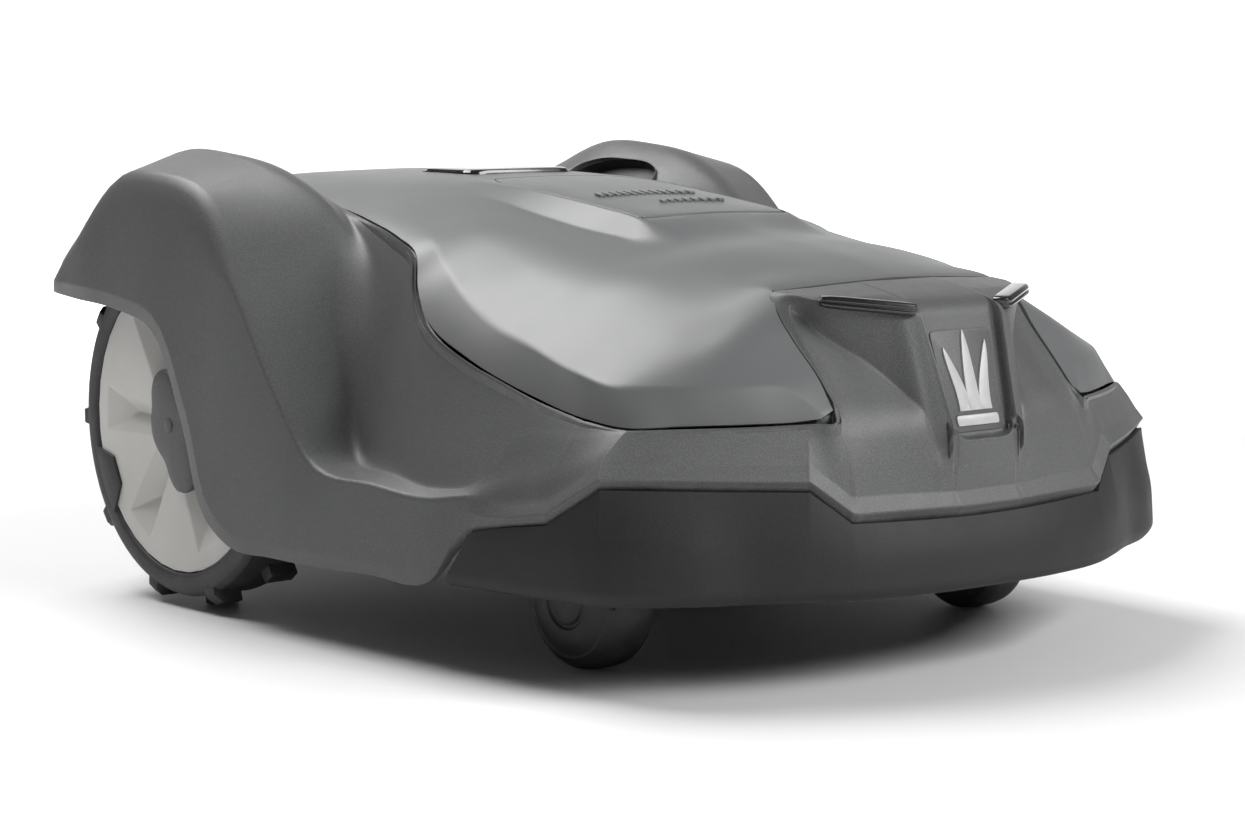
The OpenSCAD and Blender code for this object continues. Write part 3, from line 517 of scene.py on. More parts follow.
# Each station: its radii, then its points from the lower edge up to the seam with the cover:
# edge B, lip C and upper crease D of the ledge, wall W1 and W2, foot E and top F of the nose's
# side, F2, and the seam G
NOSE_STATIONS = [
    *((R_CHANNEL, channel_station(low, high, lift)) for low, high, lift in
      ((0, 0, 0), (14, 18, 0), (19.5, 26, 1), (23.4, 31, 4), (25.2, 33, 9))),
    (R_NOSE_EDGE, [
        (27, -333.1, 102.9), (27, -335.1, 105.5), (26.5, -330.2, 114.1), (26.5, -330.5, 124),
        on_face(27, 9, 0), on_face(27.2, 14, 0), (34.3, -308.1, 221.3), (34.3, -284, 229.2),
        (34.3, -253.8, 234.7)]),
    (R_NOSE_EDGE, [
        (31, -332.9, 103), (31, -334.9, 105.6), (30, -330, 114.3), (29.5, -330.2, 125),
        (29.2, -330.5, 135), (29.5, -330.2, 145), (37, -307.4, 221.2), (37, -284, 229.1),
        (37, -253.6, 234.6)]),
    (R_NOSE_SIDE, [
        (38, -332.3, 103.2), (38, -334.3, 105.8), (37, -329.4, 114.5), (36.5, -329.6, 127),
        (36, -327, 137), (36.5, -325.5, 147), (39.5, -305.8, 221.5), (40.5, -284, 229),
        (40, -253.4, 234.4)]),
    (R_NOSE_SIDE, [
        (46, -331.7, 103.4), (46, -333.7, 106), (45, -328.9, 114.8), (44, -326.5, 135),
        (43.5, -322.5, 155), (43, -317.5, 164), (47, -302, 222), (48, -283.5, 228.8),
        (48, -253.2, 234.2)]),
    (R_NOSE_SIDE, [
        (56, -330.9, 103.6), (56, -332.9, 106.2), (55, -328, 115.1), (54.5, -324.5, 137),
        (54, -320.5, 158), (50.5, -305.5, 175.5), (55, -297.8, 222.6), (56, -282.5, 228.7),
        (56, -252.9, 233.9)]),
    (R_NOSE_SIDE, [
        (72, -329.3, 104), (72, -331.3, 106.6), (71, -326.5, 115.6), (70.5, -322.5, 138), (70, -318, 159),
        (66, -288.5, 193.5), (69, -290, 224), (70, -279.5, 228.5), (69, -251, 233)]),
    (R_NOSE_SIDE, [
        (86, -327.8, 104.1), (86, -329.8, 106.7), (85, -325, 116), (84, -321, 138.5),
        (83.5, -315.5, 159.5), (82, -271.5, 207.5), (83, -281, 226), (84, -273.5, 228.8),
        (83, -248.5, 232.4)]),
    (R_FAN, [
        (93, -327, 104.2), (93, -329, 106.8), (92, -324.2, 116.2), (91, -320, 139), (90.5, -313.5, 160),
        (94, -259.5, 221), (95, -260, 225), (97, -254, 228.5), (98, -245.5, 230.5)]),
    (R_FAN, [
        (97, -326.6, 104.2), (97, -328.6, 106.8), (96, -323.9, 116.3), (95, -319.5, 139),
        (94.5, -312.5, 160.5), (98, -273, 204), (99.5, -265, 212), (101, -260, 217), (102.3, -256, 220)]),
    (R_FAN, [
        (100, -326.4, 104.3), (100, -328.3, 106.9), (99, -323.6, 116.4), (98, -319, 139.5),
        (97.5, -311.8, 161), (98.5, -287, 188.5), (100, -279.5, 195), (101, -275, 199),
        (102, -271, 203)]),
    (R_FAN, [
        (103, -326.2, 104.3), (103, -328.1, 106.9), (101.5, -323.3, 116.5), (101, -318.5, 140),
        (100, -311.3, 161.3), (99.5, -299, 175.5), (100, -295, 179.5), (100.5, -292.5, 182),
        (101, -290, 184.5)]),
    (R_FAN, [
        (107, -325, 105.4), (107.7, -327, 108), (105, -321.8, 116.8), (104, -317.5, 140),
        (103, -312, 158.5), (102, -307.5, 164.5), (101.7, -306, 166.5), (101.6, -305, 168),
        (101.6, -303.5, 169.5)]),
    (R_FRONT, [
        (112, -322.5, 109.4), (112.8, -324.5, 112.2), (109.5, -319.5, 121), (108.5, -316.5, 138),
        (107.5, -313.2, 153), (107, -312.4, 156.5), (106.8, -312.2, 158), (106.7, -311.9, 159),
        (106.5, -311, 160)]),
    (R_FRONT, [
        (130, -313.3, 124.4), (131, -315.3, 127), (127, -310.5, 136), (124.6, -307.6, 145),
        (122.5, -305.2, 152), (121.5, -304.2, 156), (121, -303.8, 157.3), (120.5, -303.3, 158.2),
        (119.5, -302, 158.8)]),
    (R_FRONT, [
        (164.6, -294.1, 125.7), (165.8, -296, 128.3), (161.5, -291.5, 137), (158.5, -289, 145),
        (156, -287.3, 151.5), (154.5, -286.3, 155), (154, -286, 156.3), (153.3, -285.5, 157.3),
        (152, -284.5, 157.8)]),
    (R_FRONT, [
        (199.6, -273.6, 127.2), (200.9, -275.3, 129.8), (196.5, -271, 138.2), (193, -269, 145.5),
        (190, -267.5, 151.5), (188.5, -266.8, 155), (188, -266.5, 156), (187.3, -266, 157),
        (186, -265, 157.5)]),
    (R_CORNER, [
        (235.4, -250.4, 128.5), (237, -251.6, 131), (231.5, -248.5, 139), (226, -248, 146),
        (220, -248.3, 151.5), (216, -248.6, 155), (214.5, -248.7, 156), (213, -248.5, 156.8),
        (211, -248, 157)]),
    (R_SIDE, [
        (244.9, -214, 104.8), (246.3, -214, 107.6), (241, -212, 116), (237, -211.5, 128),
        (231, -212, 140), (226, -213.5, 149), (223, -214.5, 153.5), (220.5, -215.3, 157.3),
        (217.5, -216, 160.5)]),
    (R_SIDE, [
        (249, -172, 98.4), (250.5, -171, 101.2), (246, -170, 110), (243.5, -169, 118), (238, -168.5, 128),
        (231, -168.5, 144), (226, -169.3, 154), (222, -170.3, 162), (218, -171, 169)]),
]
STEP_STATIONS = (16, 18, 21, 22)      # stations where the lower edge bends sharply
SHELL_STATIONS = [
    (R_WAIST, [
        (252, -146, 94), (252, -143, 101), (251, -145, 111), (244, -143, 118), (232, -138, 144),
        (216.5, -138, 177)]),
    (R_WAIST, [
        (255, -114, 56), (256, -111, 66), (255, -115, 107), (245, -112, 113), (235, -103, 138),
        (215, -100, 187)]),
    (R_WAIST, [
        (257, -55, 53), (259, -55, 62), (256, -55, 110), (234, -52, 114), (225, -48, 140),
        (208, -50, 206)]),
    (R_FLANK, [
        (259, 0, 51), (261, 0, 60), (257, 4, 115), (221, 2, 117), (211, -8, 155), (196, -23, 226)]),
    (R_FLANK, [
        (260, 48, 51), (262, 46, 60), (257.5, 46, 157), (206, 40, 190), (196, 22, 200), (186, -9, 244)]),
    (R_FLANK, [
        (261, 98, 53), (262.5, 90, 61), (257, 91, 219), (191, 68, 240), (181, 48, 236), (176, 25, 255)]),
    (R_FENDER, [
        (261, 124, 67), (263, 112, 72), (256, 118, 255), (181, 92, 270), (170, 84, 259), (166, 68, 263)]),
    (R_FENDER_TOP, [
        (261, 153, 131), (263, 143, 137), (255, 146, 280), (184, 150, 300), (160, 140, 282),
        (149, 135, 271)]),
    (R_FENDER_TOP, [
        (261, 189, 189), (263, 183, 199), (255, 196, 291), (186, 200, 308), (157, 195, 288),
        (146, 190, 276)]),
    (R_FENDER_TOP, [
        (261, 235, 200), (263, 233, 210), (255, 248, 287), (186, 254, 308.5), (156, 240, 291),
        (142, 225, 279)]),
    (R_FENDER, [
        (260, 290, 204), (262, 291, 214), (256, 294, 248), (190, 296, 291), (160, 285, 285),
        (134, 262, 281)]),
    (R_FENDER, [
        (250, 334, 206), (246, 338, 214), (237, 334, 228), (194, 321, 270), (158, 308, 280),
        (121, 289, 283)]),
    (R_REAR, [
        (206, 335, 200), (204, 338, 208), (199, 337, 226), (178, 333, 252), (141, 324, 271),
        (101, 300, 284)]),
    (R_REAR, [
        (188, 334, 120), (187, 339, 128), (181, 340, 190), (160, 340, 235), (121, 330, 266),
        (80, 304, 285)]),
    (R_REAR, [
        (172, 337, 86), (170, 343, 94), (162, 346, 150), (140, 345, 215), (96, 334, 260),
        (55, 306, 285.5)]),
    (R_REAR, [
        (90, 343, 82), (90, 349, 90), (86, 351, 150), (75, 349, 215), (52, 337, 260), (28, 307, 286)]),
    (R_REAR, [(0, 344, 82), (0, 350, 90), (0, 352, 150), (0, 350, 215), (0, 338, 260), (0, 308, 286)]),
]
BEHIND_BUMPER = len(NOSE_STATIONS) + 1      # stations whose lower edge runs behind the bumper
TUCKED_HEM, PLAIN_HEM = (5.5, 9), (4, -1)   # inwards and downwards from the lower edge, behind it or not
SEAT_DROP, SEAT_WIDTH = 7, 11               # step below the seam, on which the cover lies
SHELL_WALL, COVER_WALL, BUMPER_WALL = 3, 2.6, 3.6


def level_in(line, i):
    """Level direction towards the middle of the machine, at point i of an outline."""
    q = line[min(i + 1, len(line) - 1)] - line[max(i - 1, 0)]
    return unit(np.array([-q[1], q[0], 0.0]))


def creased(rows, marks, reach=2.5, flowing=0):
    """Rows with a neighbour close to each side of the marked ones, so that they stay crisp.

    The first points of the new rows, as many as flowing says, stay on the smooth curve through all
    rows. Also tells from which row each row comes.
    """
    fine = 40
    curves = [spline([row[j] for row in rows], fine) for j in range(flowing)]
    out, source = [], []
    for i, row in enumerate(rows):
        for side in ((-1, 0, 1) if i in marks else (0,)):
            other = rows[i + side]
            share = abs(side) * reach / max(np.linalg.norm(other[1] - row[1]), reach)
            beside = row + (other - row) * share
            for j, curve in enumerate(curves):
                beside[j] = curve[round((i + side * share) * fine)]
            out.append(beside)
            source.append(i)
    return out, source


def build_shell():
    """Fenders, ledge and nose as one moulding, mirrored about the middle."""
    stations = NOSE_STATIONS + SHELL_STATIONS
    rows = [np.array(row, float) for _, row in NOSE_STATIONS]
    rows += [np.array(corner_row(*row), float) for _, row in SHELL_STATIONS]
    rows, source = creased(rows, STEP_STATIONS)
    low, high = [row[0] for row in rows], [row[-1] for row in rows]
    full, soft = [], []
    for i, row in enumerate(rows):
        inwards, down = TUCKED_HEM if source[i] < BEHIND_BUMPER else PLAIN_HEM
        under = low[i] + level_in(low, i) * inwards - np.array([0, 0, down])
        step = high[i] - np.array([0, 0, SEAT_DROP])
        seat = step + level_in(high, i) * SEAT_WIDTH - np.array([0, 0, 1])
        full.append(np.vstack([under, row, step, seat]))
        soft.append([1.0, *stations[source[i]][0], 1.1, 1.0])
    flip = np.array([-1, 1, 1])
    ring = full + [row * flip for row in full[-2:0:-1]]
    grid = surface(ring, soft + soft[-2:0:-1], 5, closed=True)
    moulding = grid_mesh("body_shell_moulding", grid, closed=True)
    face_outwards(moulding, (0, 0, 120))
    return thicken(moulding, SHELL_WALL)


# Frame on the floor of the channel down the nose: X across, Y up the floor, Z out of it
CHANNEL = (Matrix.Translation(on_face(0, 0, CHANNEL_DEPTH))
           @ Matrix.Rotation(math.pi / 2 - math.atan2(*FACE_UP), 4, "X"))


# Outline of the grip pocket in the plane of each fender's inner slope
POCKET = round_outline([(-48, -12), (50, -12), (44, 2), (22, 13), (-20, 14), (-42, 4)],
                       [5, 5, 8, 14, 14, 8])


def pocket_frame(side):
    """Frame on the inner slope of a fender: X backwards, Y up the slope, Z out of it."""
    along = Vector((0, 1, 0))
    up = Vector((side * 26, 0, 21)).normalized()
    spot = Matrix((along, up, up.cross(along) * side)).transposed().to_4x4()
    spot.translation = Vector((side * 157, 198, 285))
    return spot


def pocket_shade_tray(name, side):
    """Thin cup that closes the pocket from behind, near-black as painted shade inside the pocket."""
    outside = [(x * 1.015, y * 1.03) for x, y in POCKET]
    levels = ((outside, -8), (outside, 0.5), (POCKET, 0.5), (POCKET, -7))
    tray = loft(f"grip_pocket_shade_{name}", [[(x, y, z) for x, y in line] for line, z in levels])
    return place(tray, pocket_frame(side))


shell = build_shell()
for _, side in SIDES:
    cutter = place(prism("pocket", POCKET, -12, 30), pocket_frame(side))
    carve(shell, cutter)
    discard(cutter)
soften(shell, 0.7, 2, 50)
finish_piece(shell, "shell", "shell_plastic", "body_shell", "nose_housing")
# The pocket cups take the near-black rubber as painted shade inside the grip pockets.
for name, side in SIDES:
    finish_piece(pocket_shade_tray(name, side), "shell", "rubber_black")

# ---------- top cover, hatch and stop button

# Rows from the rear edge to the tips beside the nose, from beside the middle to the outer edge.
# The two first columns of the last four rows only steer the curves: the nose lies there.
COVER = [
    [(8, 308, 286), (40, 306.5, 285.7), (78, 304, 285), (100, 300, 284), (111, 295, 283.5),
     (121, 289, 283)],
    [(8, 262, 289.5), (45, 262, 289), (86, 262, 288), (106, 262, 286), (122, 262, 283.5),
     (134, 262, 281)],
    [(8, 225, 290.5), (48, 225, 290), (88, 225, 288), (110, 225, 285), (130, 225, 282), (142, 225, 279)],
    [(8, 178, 291), (48, 178, 290.5), (91, 178, 287.5), (115, 178, 283.5), (135, 178, 278.5),
     (147, 178, 275)],
    [(8, 145, 291.2), (48, 145, 290.6), (92, 145, 286.8), (117, 145, 282), (137, 145, 276),
     (149, 145, 272)],
    [(8, 112, 290.4), (52, 112, 289.6), (92, 112, 285.5), (119, 112, 280), (142, 112, 273),
     (155, 112, 268.5)],
    [(8, 84, 289), (66, 82, 287.4), (91, 82, 282.4), (120, 78, 277), (150, 73, 269.5), (166, 68, 263)],
    [(8, 35, 285.5), (66, 35, 284), (88, 32, 275.8), (122, 30, 270), (160, 27, 261), (176, 25, 255)],
    [(8, -5, 281), (66, -5, 279.5), (86, -8, 268), (126, -8, 264), (170, -9, 252), (186, -9, 244)],
    [(8, -48, 275.5), (66, -48, 274), (84, -50, 261), (130, -44, 256), (178, -30, 240), (196, -23, 226)],
    [(8, -90, 269), (66, -87, 268), (80, -98, 254.5), (136, -84, 247), (190, -62, 226), (208, -50, 206)],
    [(8, -128, 259), (60, -124, 256), (84, -120, 250.5), (142, -124, 240), (199, -108, 208),
     (215, -100, 187)],
    [(8, -170, 253.5), (50, -168, 252), (88, -164, 247), (144, -162, 234), (204, -151, 198),
     (218, -171, 169)],
    [(8, -215, 246), (50, -212, 244), (90, -206, 239), (144, -202, 222), (207, -190, 188),
     (217.5, -216, 160.5)],
    [(8, -252, 236), (50, -251, 234.5), (95, -243.5, 231.5), (142, -236, 210.5), (206, -231, 181),
     (211, -248, 157)],
    [(8, -266, 231), (50, -265, 229), (104, -258, 219), (145, -258, 200), (184, -254, 180),
     (186, -265, 157.5)],
    [(8, -280, 224), (50, -279, 222), (103.6, -273, 202), (138, -274, 189), (154, -274, 180),
     (152, -284.5, 157.8)],
    [(8, -298, 210), (50, -297, 208), (102.6, -291, 184), (115, -290.5, 181.5), (124, -290, 178),
     (129, -297, 158.3)],
    [(8, -318, 196), (50, -314, 190), (104.2, -306, 166), (107, -305.8, 164.6), (110, -305.5, 163),
     (114, -304.5, 160.5)],
]
NOSE_ROW = 14
SEAM = 1.6
# Radii at the columns 0 to 4 of each row
SOFT_COVER = ([(30, 14, 20, 20, 20)] * 6 + [(30, 5, 10, 20, 16)]
              + [(30, 2, 3, 20, 7), (30, 1.6, 2.4, 20, 4), (30, 1.6, 2.4, 20, 3), (30, 2.5, 4, 20, 3)]
              + [(30, 16, 16, 24, 3.5)] + [(30, 20, 20, 24, 3.5)] * 2 + [(30, 20, 0.3, 20, 3.5)]
              + [(30, 20, 0.2, 16, 3.5), (30, 20, 0.2, 10, 3.5), (30, 20, 0.2, 5, 3), (30, 20, 0.2, 1, 1)])
COVER_STEPS = 6


def build_cover():
    """The whole sheet of the cover, still closed where the hatch and the stop button go."""
    rows = []
    for row in COVER:
        p = np.array(row, float)
        p[5] += unit(p[4] - p[5]) * SEAM
        rows.append(np.vstack([(p * [-1, 1, 1])[::-1], p]))
    radii = [tuple(r[::-1]) + tuple(r) for r in SOFT_COVER]
    grid = surface(rows, radii, COVER_STEPS)
    width = CORNER_STEPS + 1        # columns of the grid for one column of the table
    first = 1 + 2 * width + CORNER_STEPS // 2
    last = grid.shape[1] - 1 - first
    sheet = grid_mesh("cover", grid, skip=lambda i, j: i >= NOSE_ROW * COVER_STEPS and first <= j < last)
    face_outwards(sheet, (0, 0, 0))
    return thicken(sheet, COVER_WALL)


HATCH_HALF, HATCH_FRONT, HATCH_REAR = 63.4, -85, 82
HINGE_Y, HINGE_Z, BARREL_R = -85.8, 266.7, 2.2
STOP_Y = 145
CUT_LOW, CUT_HIGH = 200, 340        # cutters reach from below the cover to above it
HATCH_OUTLINE = [(-HATCH_HALF, HATCH_FRONT), (HATCH_HALF, HATCH_FRONT), (HATCH_HALF, 58),
                 (HATCH_HALF - 12, HATCH_REAR), (12 - HATCH_HALF, HATCH_REAR), (-HATCH_HALF, 58)]


def grown(outline, by):
    """Outline with its points moved away from its middle by that much in x and in y."""
    p = np.array(outline, float)
    return [tuple(q) for q in p + np.sign(p - p.mean(0)) * by]


cover = build_cover()
hatch_cut = prism("hatch_cut", round_outline(HATCH_OUTLINE, [2, 2, 6, 6, 6, 6]), CUT_LOW, CUT_HIGH)
hole_outline = [(x, y - 3.1 if y == HATCH_FRONT else y) for x, y in HATCH_OUTLINE]
hole_outline = round_outline(grown(hole_outline, 0.9), [5, 5, 7, 7, 7, 7])
hatch_hole = prism("hatch_hole", hole_outline, CUT_LOW, CUT_HIGH)
hatch = copy_of(cover, "hatch_lid")
carve(hatch, hatch_cut, keep=True)
carve(cover, hatch_hole)
stop_outline = [(-48, STOP_Y - 33), (48, STOP_Y - 33), (48, STOP_Y + 33), (-48, STOP_Y + 33)]
stop_hole = prism("stop_hole", round_outline(stop_outline, 15), CUT_LOW, CUT_HIGH)
carve(cover, stop_hole)
discard(hatch_cut, hatch_hole, stop_hole)
soften(cover, 0.8, 3, 50, 30)
soften(hatch, 0.7, 3, 50, 30)
barrel_profile = [(0, -61), (BARREL_R - 0.4, -61), (BARREL_R, -60.6),
                  (BARREL_R, 60.6), (BARREL_R - 0.4, 61), (0, 61)]
barrel = revolve("barrel", barrel_profile, 24)
place(barrel, Matrix.Translation((0, HINGE_Y, HINGE_Z)) @ Matrix.Rotation(math.pi / 2, 4, "Y"))
hatch = join("hatch_lid", [hatch, barrel])
finish_piece(cover, "shell", "cover_paint", "top_cover")


MARK_PITCH = 7.2


def hatch_height(y):
    """Height of the hatch's surface near its middle."""
    return 269.3 + (y + 90) * 0.148 - ((y + 90) / 62) ** 2


def build_hatch_marks():
    """Raised slanted bars in two rows on the hatch: a plain ornament."""
    bars = []
    for y, count, tall, lean, shift in ((-20, 12, 15, 3, 0), (-50, 8, 9, 2.4, 14)):
        for k in range(count):
            x = MARK_PITCH * (k - (count - 1) / 2) + shift
            top = y + tall * (0.6 + 0.4 * math.sin(math.pi * (k + 0.5) / count))
            outline = [(x - 2.3, y), (x + 2.3, y), (x + 2.3 + lean, top), (x - 2.3 + lean, top)]
            rings = [[(p, q, hatch_height(q) + up) for p, q in outline] for up in (-1.5, 1.7)]
            bars.append(loft("bar", rings))
    return soften(join("hatch_marks", bars), 0.4, 2, 30)


finish_piece(hatch, "hatch", "cover_paint", "hatch")
finish_piece(build_hatch_marks(), "hatch", "cover_paint")


def build_stop_button():
    """Large crowned button plate on its stem."""
    outline = round_outline([(-46, -31), (46, -31), (46, 31), (-46, 31)], 14, 8)
    levels = ((1.0, 283.5), (1.0, 291.0), (0.975, 292.6), (0.93, 293.2), (0.6, 293.5), (0.25, 293.5))
    rings = [[(x * share, y * share + STOP_Y, z) for x, y in outline] for share, z in levels]
    stem = revolve("stem", [(0, 0), (9, 0), (9, 24), (0, 24)], 48)
    place(stem, Matrix.Translation((0, STOP_Y, 260)))
    return join("stop_button_plate", [loft("stop_plate", rings), stem])


finish_piece(build_stop_button(), "stop_button", "trim_black", "stop_button")

# ---------- nose details

def build_headlight(name, side):
    """Dark light bar with two lens ridges, under the top edge of the nose."""
    inner, outer = Vector((side * 37.5, -307.5, 221)), Vector((side * 88.5, -279, 227))
    length = (outer - inner).length
    along = (outer - inner).normalized()
    up = Vector((side * 0.495, -0.869, 0)).cross(along) * side
    front = along.cross(up) * side
    profile = [(-6, -4.2), (1.5, -4.0), (4.6, -2.9), (5.2, -2.0), (5.2, -0.5), (4.3, -0.1), (4.3, 0.5),
               (4.9, 0.8), (4.9, 2.2), (4.2, 2.6), (4.2, 3.0), (2.6, 4.0), (-6, 4.4)]
    rings = []
    for at, share in ((0, 0.3), (1.2, 0.72), (4, 0.95), (8, 1.0), (length - 12, 1.0), (length - 5, 0.8),
                      (length, 0.35)):
        centre = inner + along * at
        rings.append([centre + front * (p if p < 0 else p * share) + up * (q * (0.6 + 0.4 * share))
                      for p, q in profile])
    return soften(loft(f"headlight_bar_{name}", rings, 30), 0.25, 2, 25, 30)


for name, side in SIDES:
    finish_piece(build_headlight(name, side), "shell", "trim_black", f"headlight_{name}")


def grass_blade(base_x, tip, width, bend):
    """Curved blade of grass as an outline, from its base up to its tip and back."""
    foot, steps = -20, 12
    left, right = [], []
    for k in range(steps + 1):
        t = k / steps
        x = base_x + (tip[0] - base_x) * t + bend * 4 * t * (1 - t) * (1 - t)
        y = foot + (tip[1] - foot) * t
        half = width / 2 * (1 - t) ** 0.7 * (1 + 0.5 * t)
        left.append((x - half, y))
        right.append((x + half, y))
    return left[:-1] + right[::-1]


def build_emblem():
    """Plain mark: a tuft of grass on a bar."""
    outlines = [grass_blade(0, (1, 30), 11, -1), grass_blade(-9, (-18, 20), 10, 3),
                grass_blade(9, (19, 23), 10, -3),
                round_outline([(-18, -29), (18, -29), (18, -22.5), (-18, -22.5)], 2.2, 3)]
    mark = join("nose_emblem", [soften(prism("blade", outline, -1.2, 1.1), 0.5) for outline in outlines])
    return place(mark, CHANNEL @ Matrix.Translation((0, 38, 1)))


def build_emblem_panel():
    """Thin backing plate of the mark in the channel of the nose."""
    outline = round_outline([(-22.5, 5.5), (22.5, 5.5), (26, 68), (-26, 68)], 4)
    plate = soften(prism("emblem_backing", outline, -1.5, 0.9), 0.5)
    return place(plate, CHANNEL)


finish_piece(build_emblem(), "shell", "emblem_grey", "emblem")
finish_piece(build_emblem_panel(), "shell", "shell_plastic", "emblem_panel")

# ---------- bumper

# Rows from the middle to the flank, each from the lower edge to the ledge above
BUMPER = [
    [(0, -341, 56), (0, -345.5, 61), (0, -342, 82), (0, -334.5, 101.4)],
    [(60, -338, 56), (60, -342, 61), (60, -340, 82), (58, -333.2, 102.6)],
    [(108, -327, 56), (110, -331.5, 61.5), (109.5, -330, 82), (107.3, -326, 104)],
    [(134, -315.5, 56.5), (136, -320, 62), (134, -319, 90), (130.3, -314.2, 123.2)],
    [(164, -299.5, 56.5), (166, -303.5, 62.5), (167, -301, 90), (165, -295, 124.5)],
    [(196, -286, 57), (199, -290.5, 63), (201, -286.5, 90), (200, -274.5, 126)],
    [(233, -253, 57), (238, -255, 63), (239, -252.5, 90), (236, -251, 127.3)],
    [(243, -216, 57), (247, -216, 63), (248, -214.5, 85), (245.5, -214, 103.5)],
    [(250, -170, 57), (253, -170, 63), (252, -170, 80), (249, -170, 97)],
    [(252, -132, 56), (255, -130, 61), (253, -142, 78), (252, -149, 92)],
]
BUMPER_CREASES = (2, 3, 6, 7)
BUMPER_GAP = 2.4                          # how far the bumper stops below the ledge
FOLD_LOW, FOLD_HIGH, FOLD_FALL = 14, 5, np.array([0, 0, 0.5])     # its folded edges


def build_bumper():
    """Strip round the front with both edges folded inwards, mirrored about the middle."""
    half = [np.array(row, float) - np.array([[0, 0, 0]] * 3 + [[0, 0, BUMPER_GAP]]) for row in BUMPER]
    half, _ = creased(half, BUMPER_CREASES, flowing=3)
    low, high = [row[0] for row in half], [row[-1] for row in half]
    full = []
    for i, row in enumerate(half):
        under = low[i] + level_in(low, i) * FOLD_LOW - FOLD_FALL
        over = high[i] + level_in(high, i) * FOLD_HIGH - FOLD_FALL
        full.append(np.vstack([under, row, over]))
    rows = [row * [-1, 1, 1] for row in full[:0:-1]] + full
    bumper = grid_mesh("bumper_strip", surface(rows, [(2.5, 4, 8, 0.8)] * len(rows), 5))
    face_outwards(bumper, (0, 0, 80))
    return soften(thicken(bumper, BUMPER_WALL), 0.6, 2, 50)


finish_piece(build_bumper(), "shell", "bumper_plastic", "front_bumper")

# ---------- wheels

AXLE = (178, 125)             # y and z of the rear axle
CASTOR_AXLE = (-161, 44)      # y and z of the castor's axle
DISC_R, DISC_FACE, DISC_BACK = 100, 249, 233
POCKET_DEPTH = 11
TREAD_R, LUG_R = 116.5, 124.8


def polar(r, angle, out, axle=AXLE):
    """Point of a left wheel seen from outside: radius, angle anticlockwise from the front, x."""
    a = math.radians(angle)
    return (-out, axle[0] - r * math.cos(a), axle[1] + r * math.sin(a))


def on_side(piece, side):
    """Mirrors a piece of the left side to the right when side is 1."""
    return piece if side < 0 else place(piece, Matrix.Scale(-1, 4, (1, 0, 0)))


def build_wheel_disc(side):
    """Light disc with six flat spokes and a faceted pocket between each two."""
    points, faces = [], []

    def at(r, angle, out=DISC_FACE):
        points.append(polar(r, angle, out))
        return len(points) - 1

    for k in range(6):
        m = 57 + 60 * k
        rim = [at(DISC_R, m + a) for a in range(-30, 31, 10)]
        back = [at(DISC_R, m + a, DISC_BACK) for a in range(-30, 31, 10)]
        hub = [at(24, m + a) for a in (-30, -20, 0, 20, 30)]
        a1, a2, b1, b2 = at(89, m - 10), at(89, m + 10), at(32, m - 20), at(32, m + 20)
        s1, s2, t1, t2 = at(89, m - 30), at(89, m + 30), at(32, m - 30), at(32, m + 30)
        far, near = at(62, m, DISC_FACE - POCKET_DEPTH), at(40, m, DISC_FACE - POCKET_DEPTH)
        middle, behind = at(0, 0), at(0, 0, DISC_BACK)
        faces += [(rim[0], rim[1], rim[2], a1, s1), (rim[2], rim[3], rim[4], a2, a1),
                  (rim[4], rim[5], rim[6], s2, a2), (s1, a1, b1, t1), (a2, s2, t2, b2),
                  (t1, b1, hub[1], hub[0]), (b1, b2, hub[3], hub[2], hub[1]), (b2, t2, hub[4], hub[3]),
                  (middle, *hub), (behind, *back[::-1]),
                  (a1, a2, far), (a1, far, near, b1), (a2, b2, near, far), (b1, near, b2)]
        faces += [(rim[j], back[j], back[j + 1], rim[j + 1]) for j in range(6)]
    return on_side(soften(mesh("disc", points, faces, 20), 1.1, 3, 11, 25), side)


def lug(angle, inner, outer, chamfer):
    """Block across one half of the tread, its outer corner cut off."""
    foot, top = 3.1, 2.3

    def section(out, top_r):
        return [polar(TREAD_R - 4, angle - foot, out), polar(TREAD_R - 4, angle + foot, out),
                polar(top_r, angle + top, out), polar(top_r, angle - top, out)]

    return loft("lug", [section(inner, LUG_R), section(outer - chamfer, LUG_R),
                        section(outer, LUG_R - chamfer)])


def build_tyre(side):
    """Tyre with two rows of staggered lugs and three wedges that reach over the disc."""
    wall = [(DISC_R + 0.5, 206), (TREAD_R - 5, 205), (TREAD_R, 209), (TREAD_R, 245), (TREAD_R - 3, 249.5),
            (TREAD_R - 7, 250.6), (DISC_R + 3, 250.2), (DISC_R + 0.5, 248.5)]
    parts = [soften(revolve("tyre", [*wall, wall[0]], 120, polar), 0.8, 2, 20)]
    lugs = [lug(146 + 36 * k, 228, 249.5, 6) for k in range(10)]
    lugs += [lug(164 + 36 * k, 206, 227, 1) for k in range(10)]
    for angle in (87, 207, 327):
        corners = [(105, angle + a) for a in (-14, -7, 0, 7, 14)] + [(84.5, angle + a) for a in (7, -7)]
        lugs.append(loft("wedge", [[polar(r, a, out) for r, a in corners] for out in (246, 251)]))
    parts += [soften(block, 0.8, 2, 30) for block in lugs]
    return on_side(join("tyre_with_lugs", parts), side)


# Outline of the hub cap: (angle, radius)
CAP_LOBES = [(0, 26), (25, 26), (50, 26), (72, 27), (90, 34), (103, 38), (123, 38), (138, 33), (155, 27),
             (180, 26), (205, 26), (230, 26), (252, 28), (267, 38), (277, 45), (303, 45), (314, 38),
             (330, 28), (345, 26)]


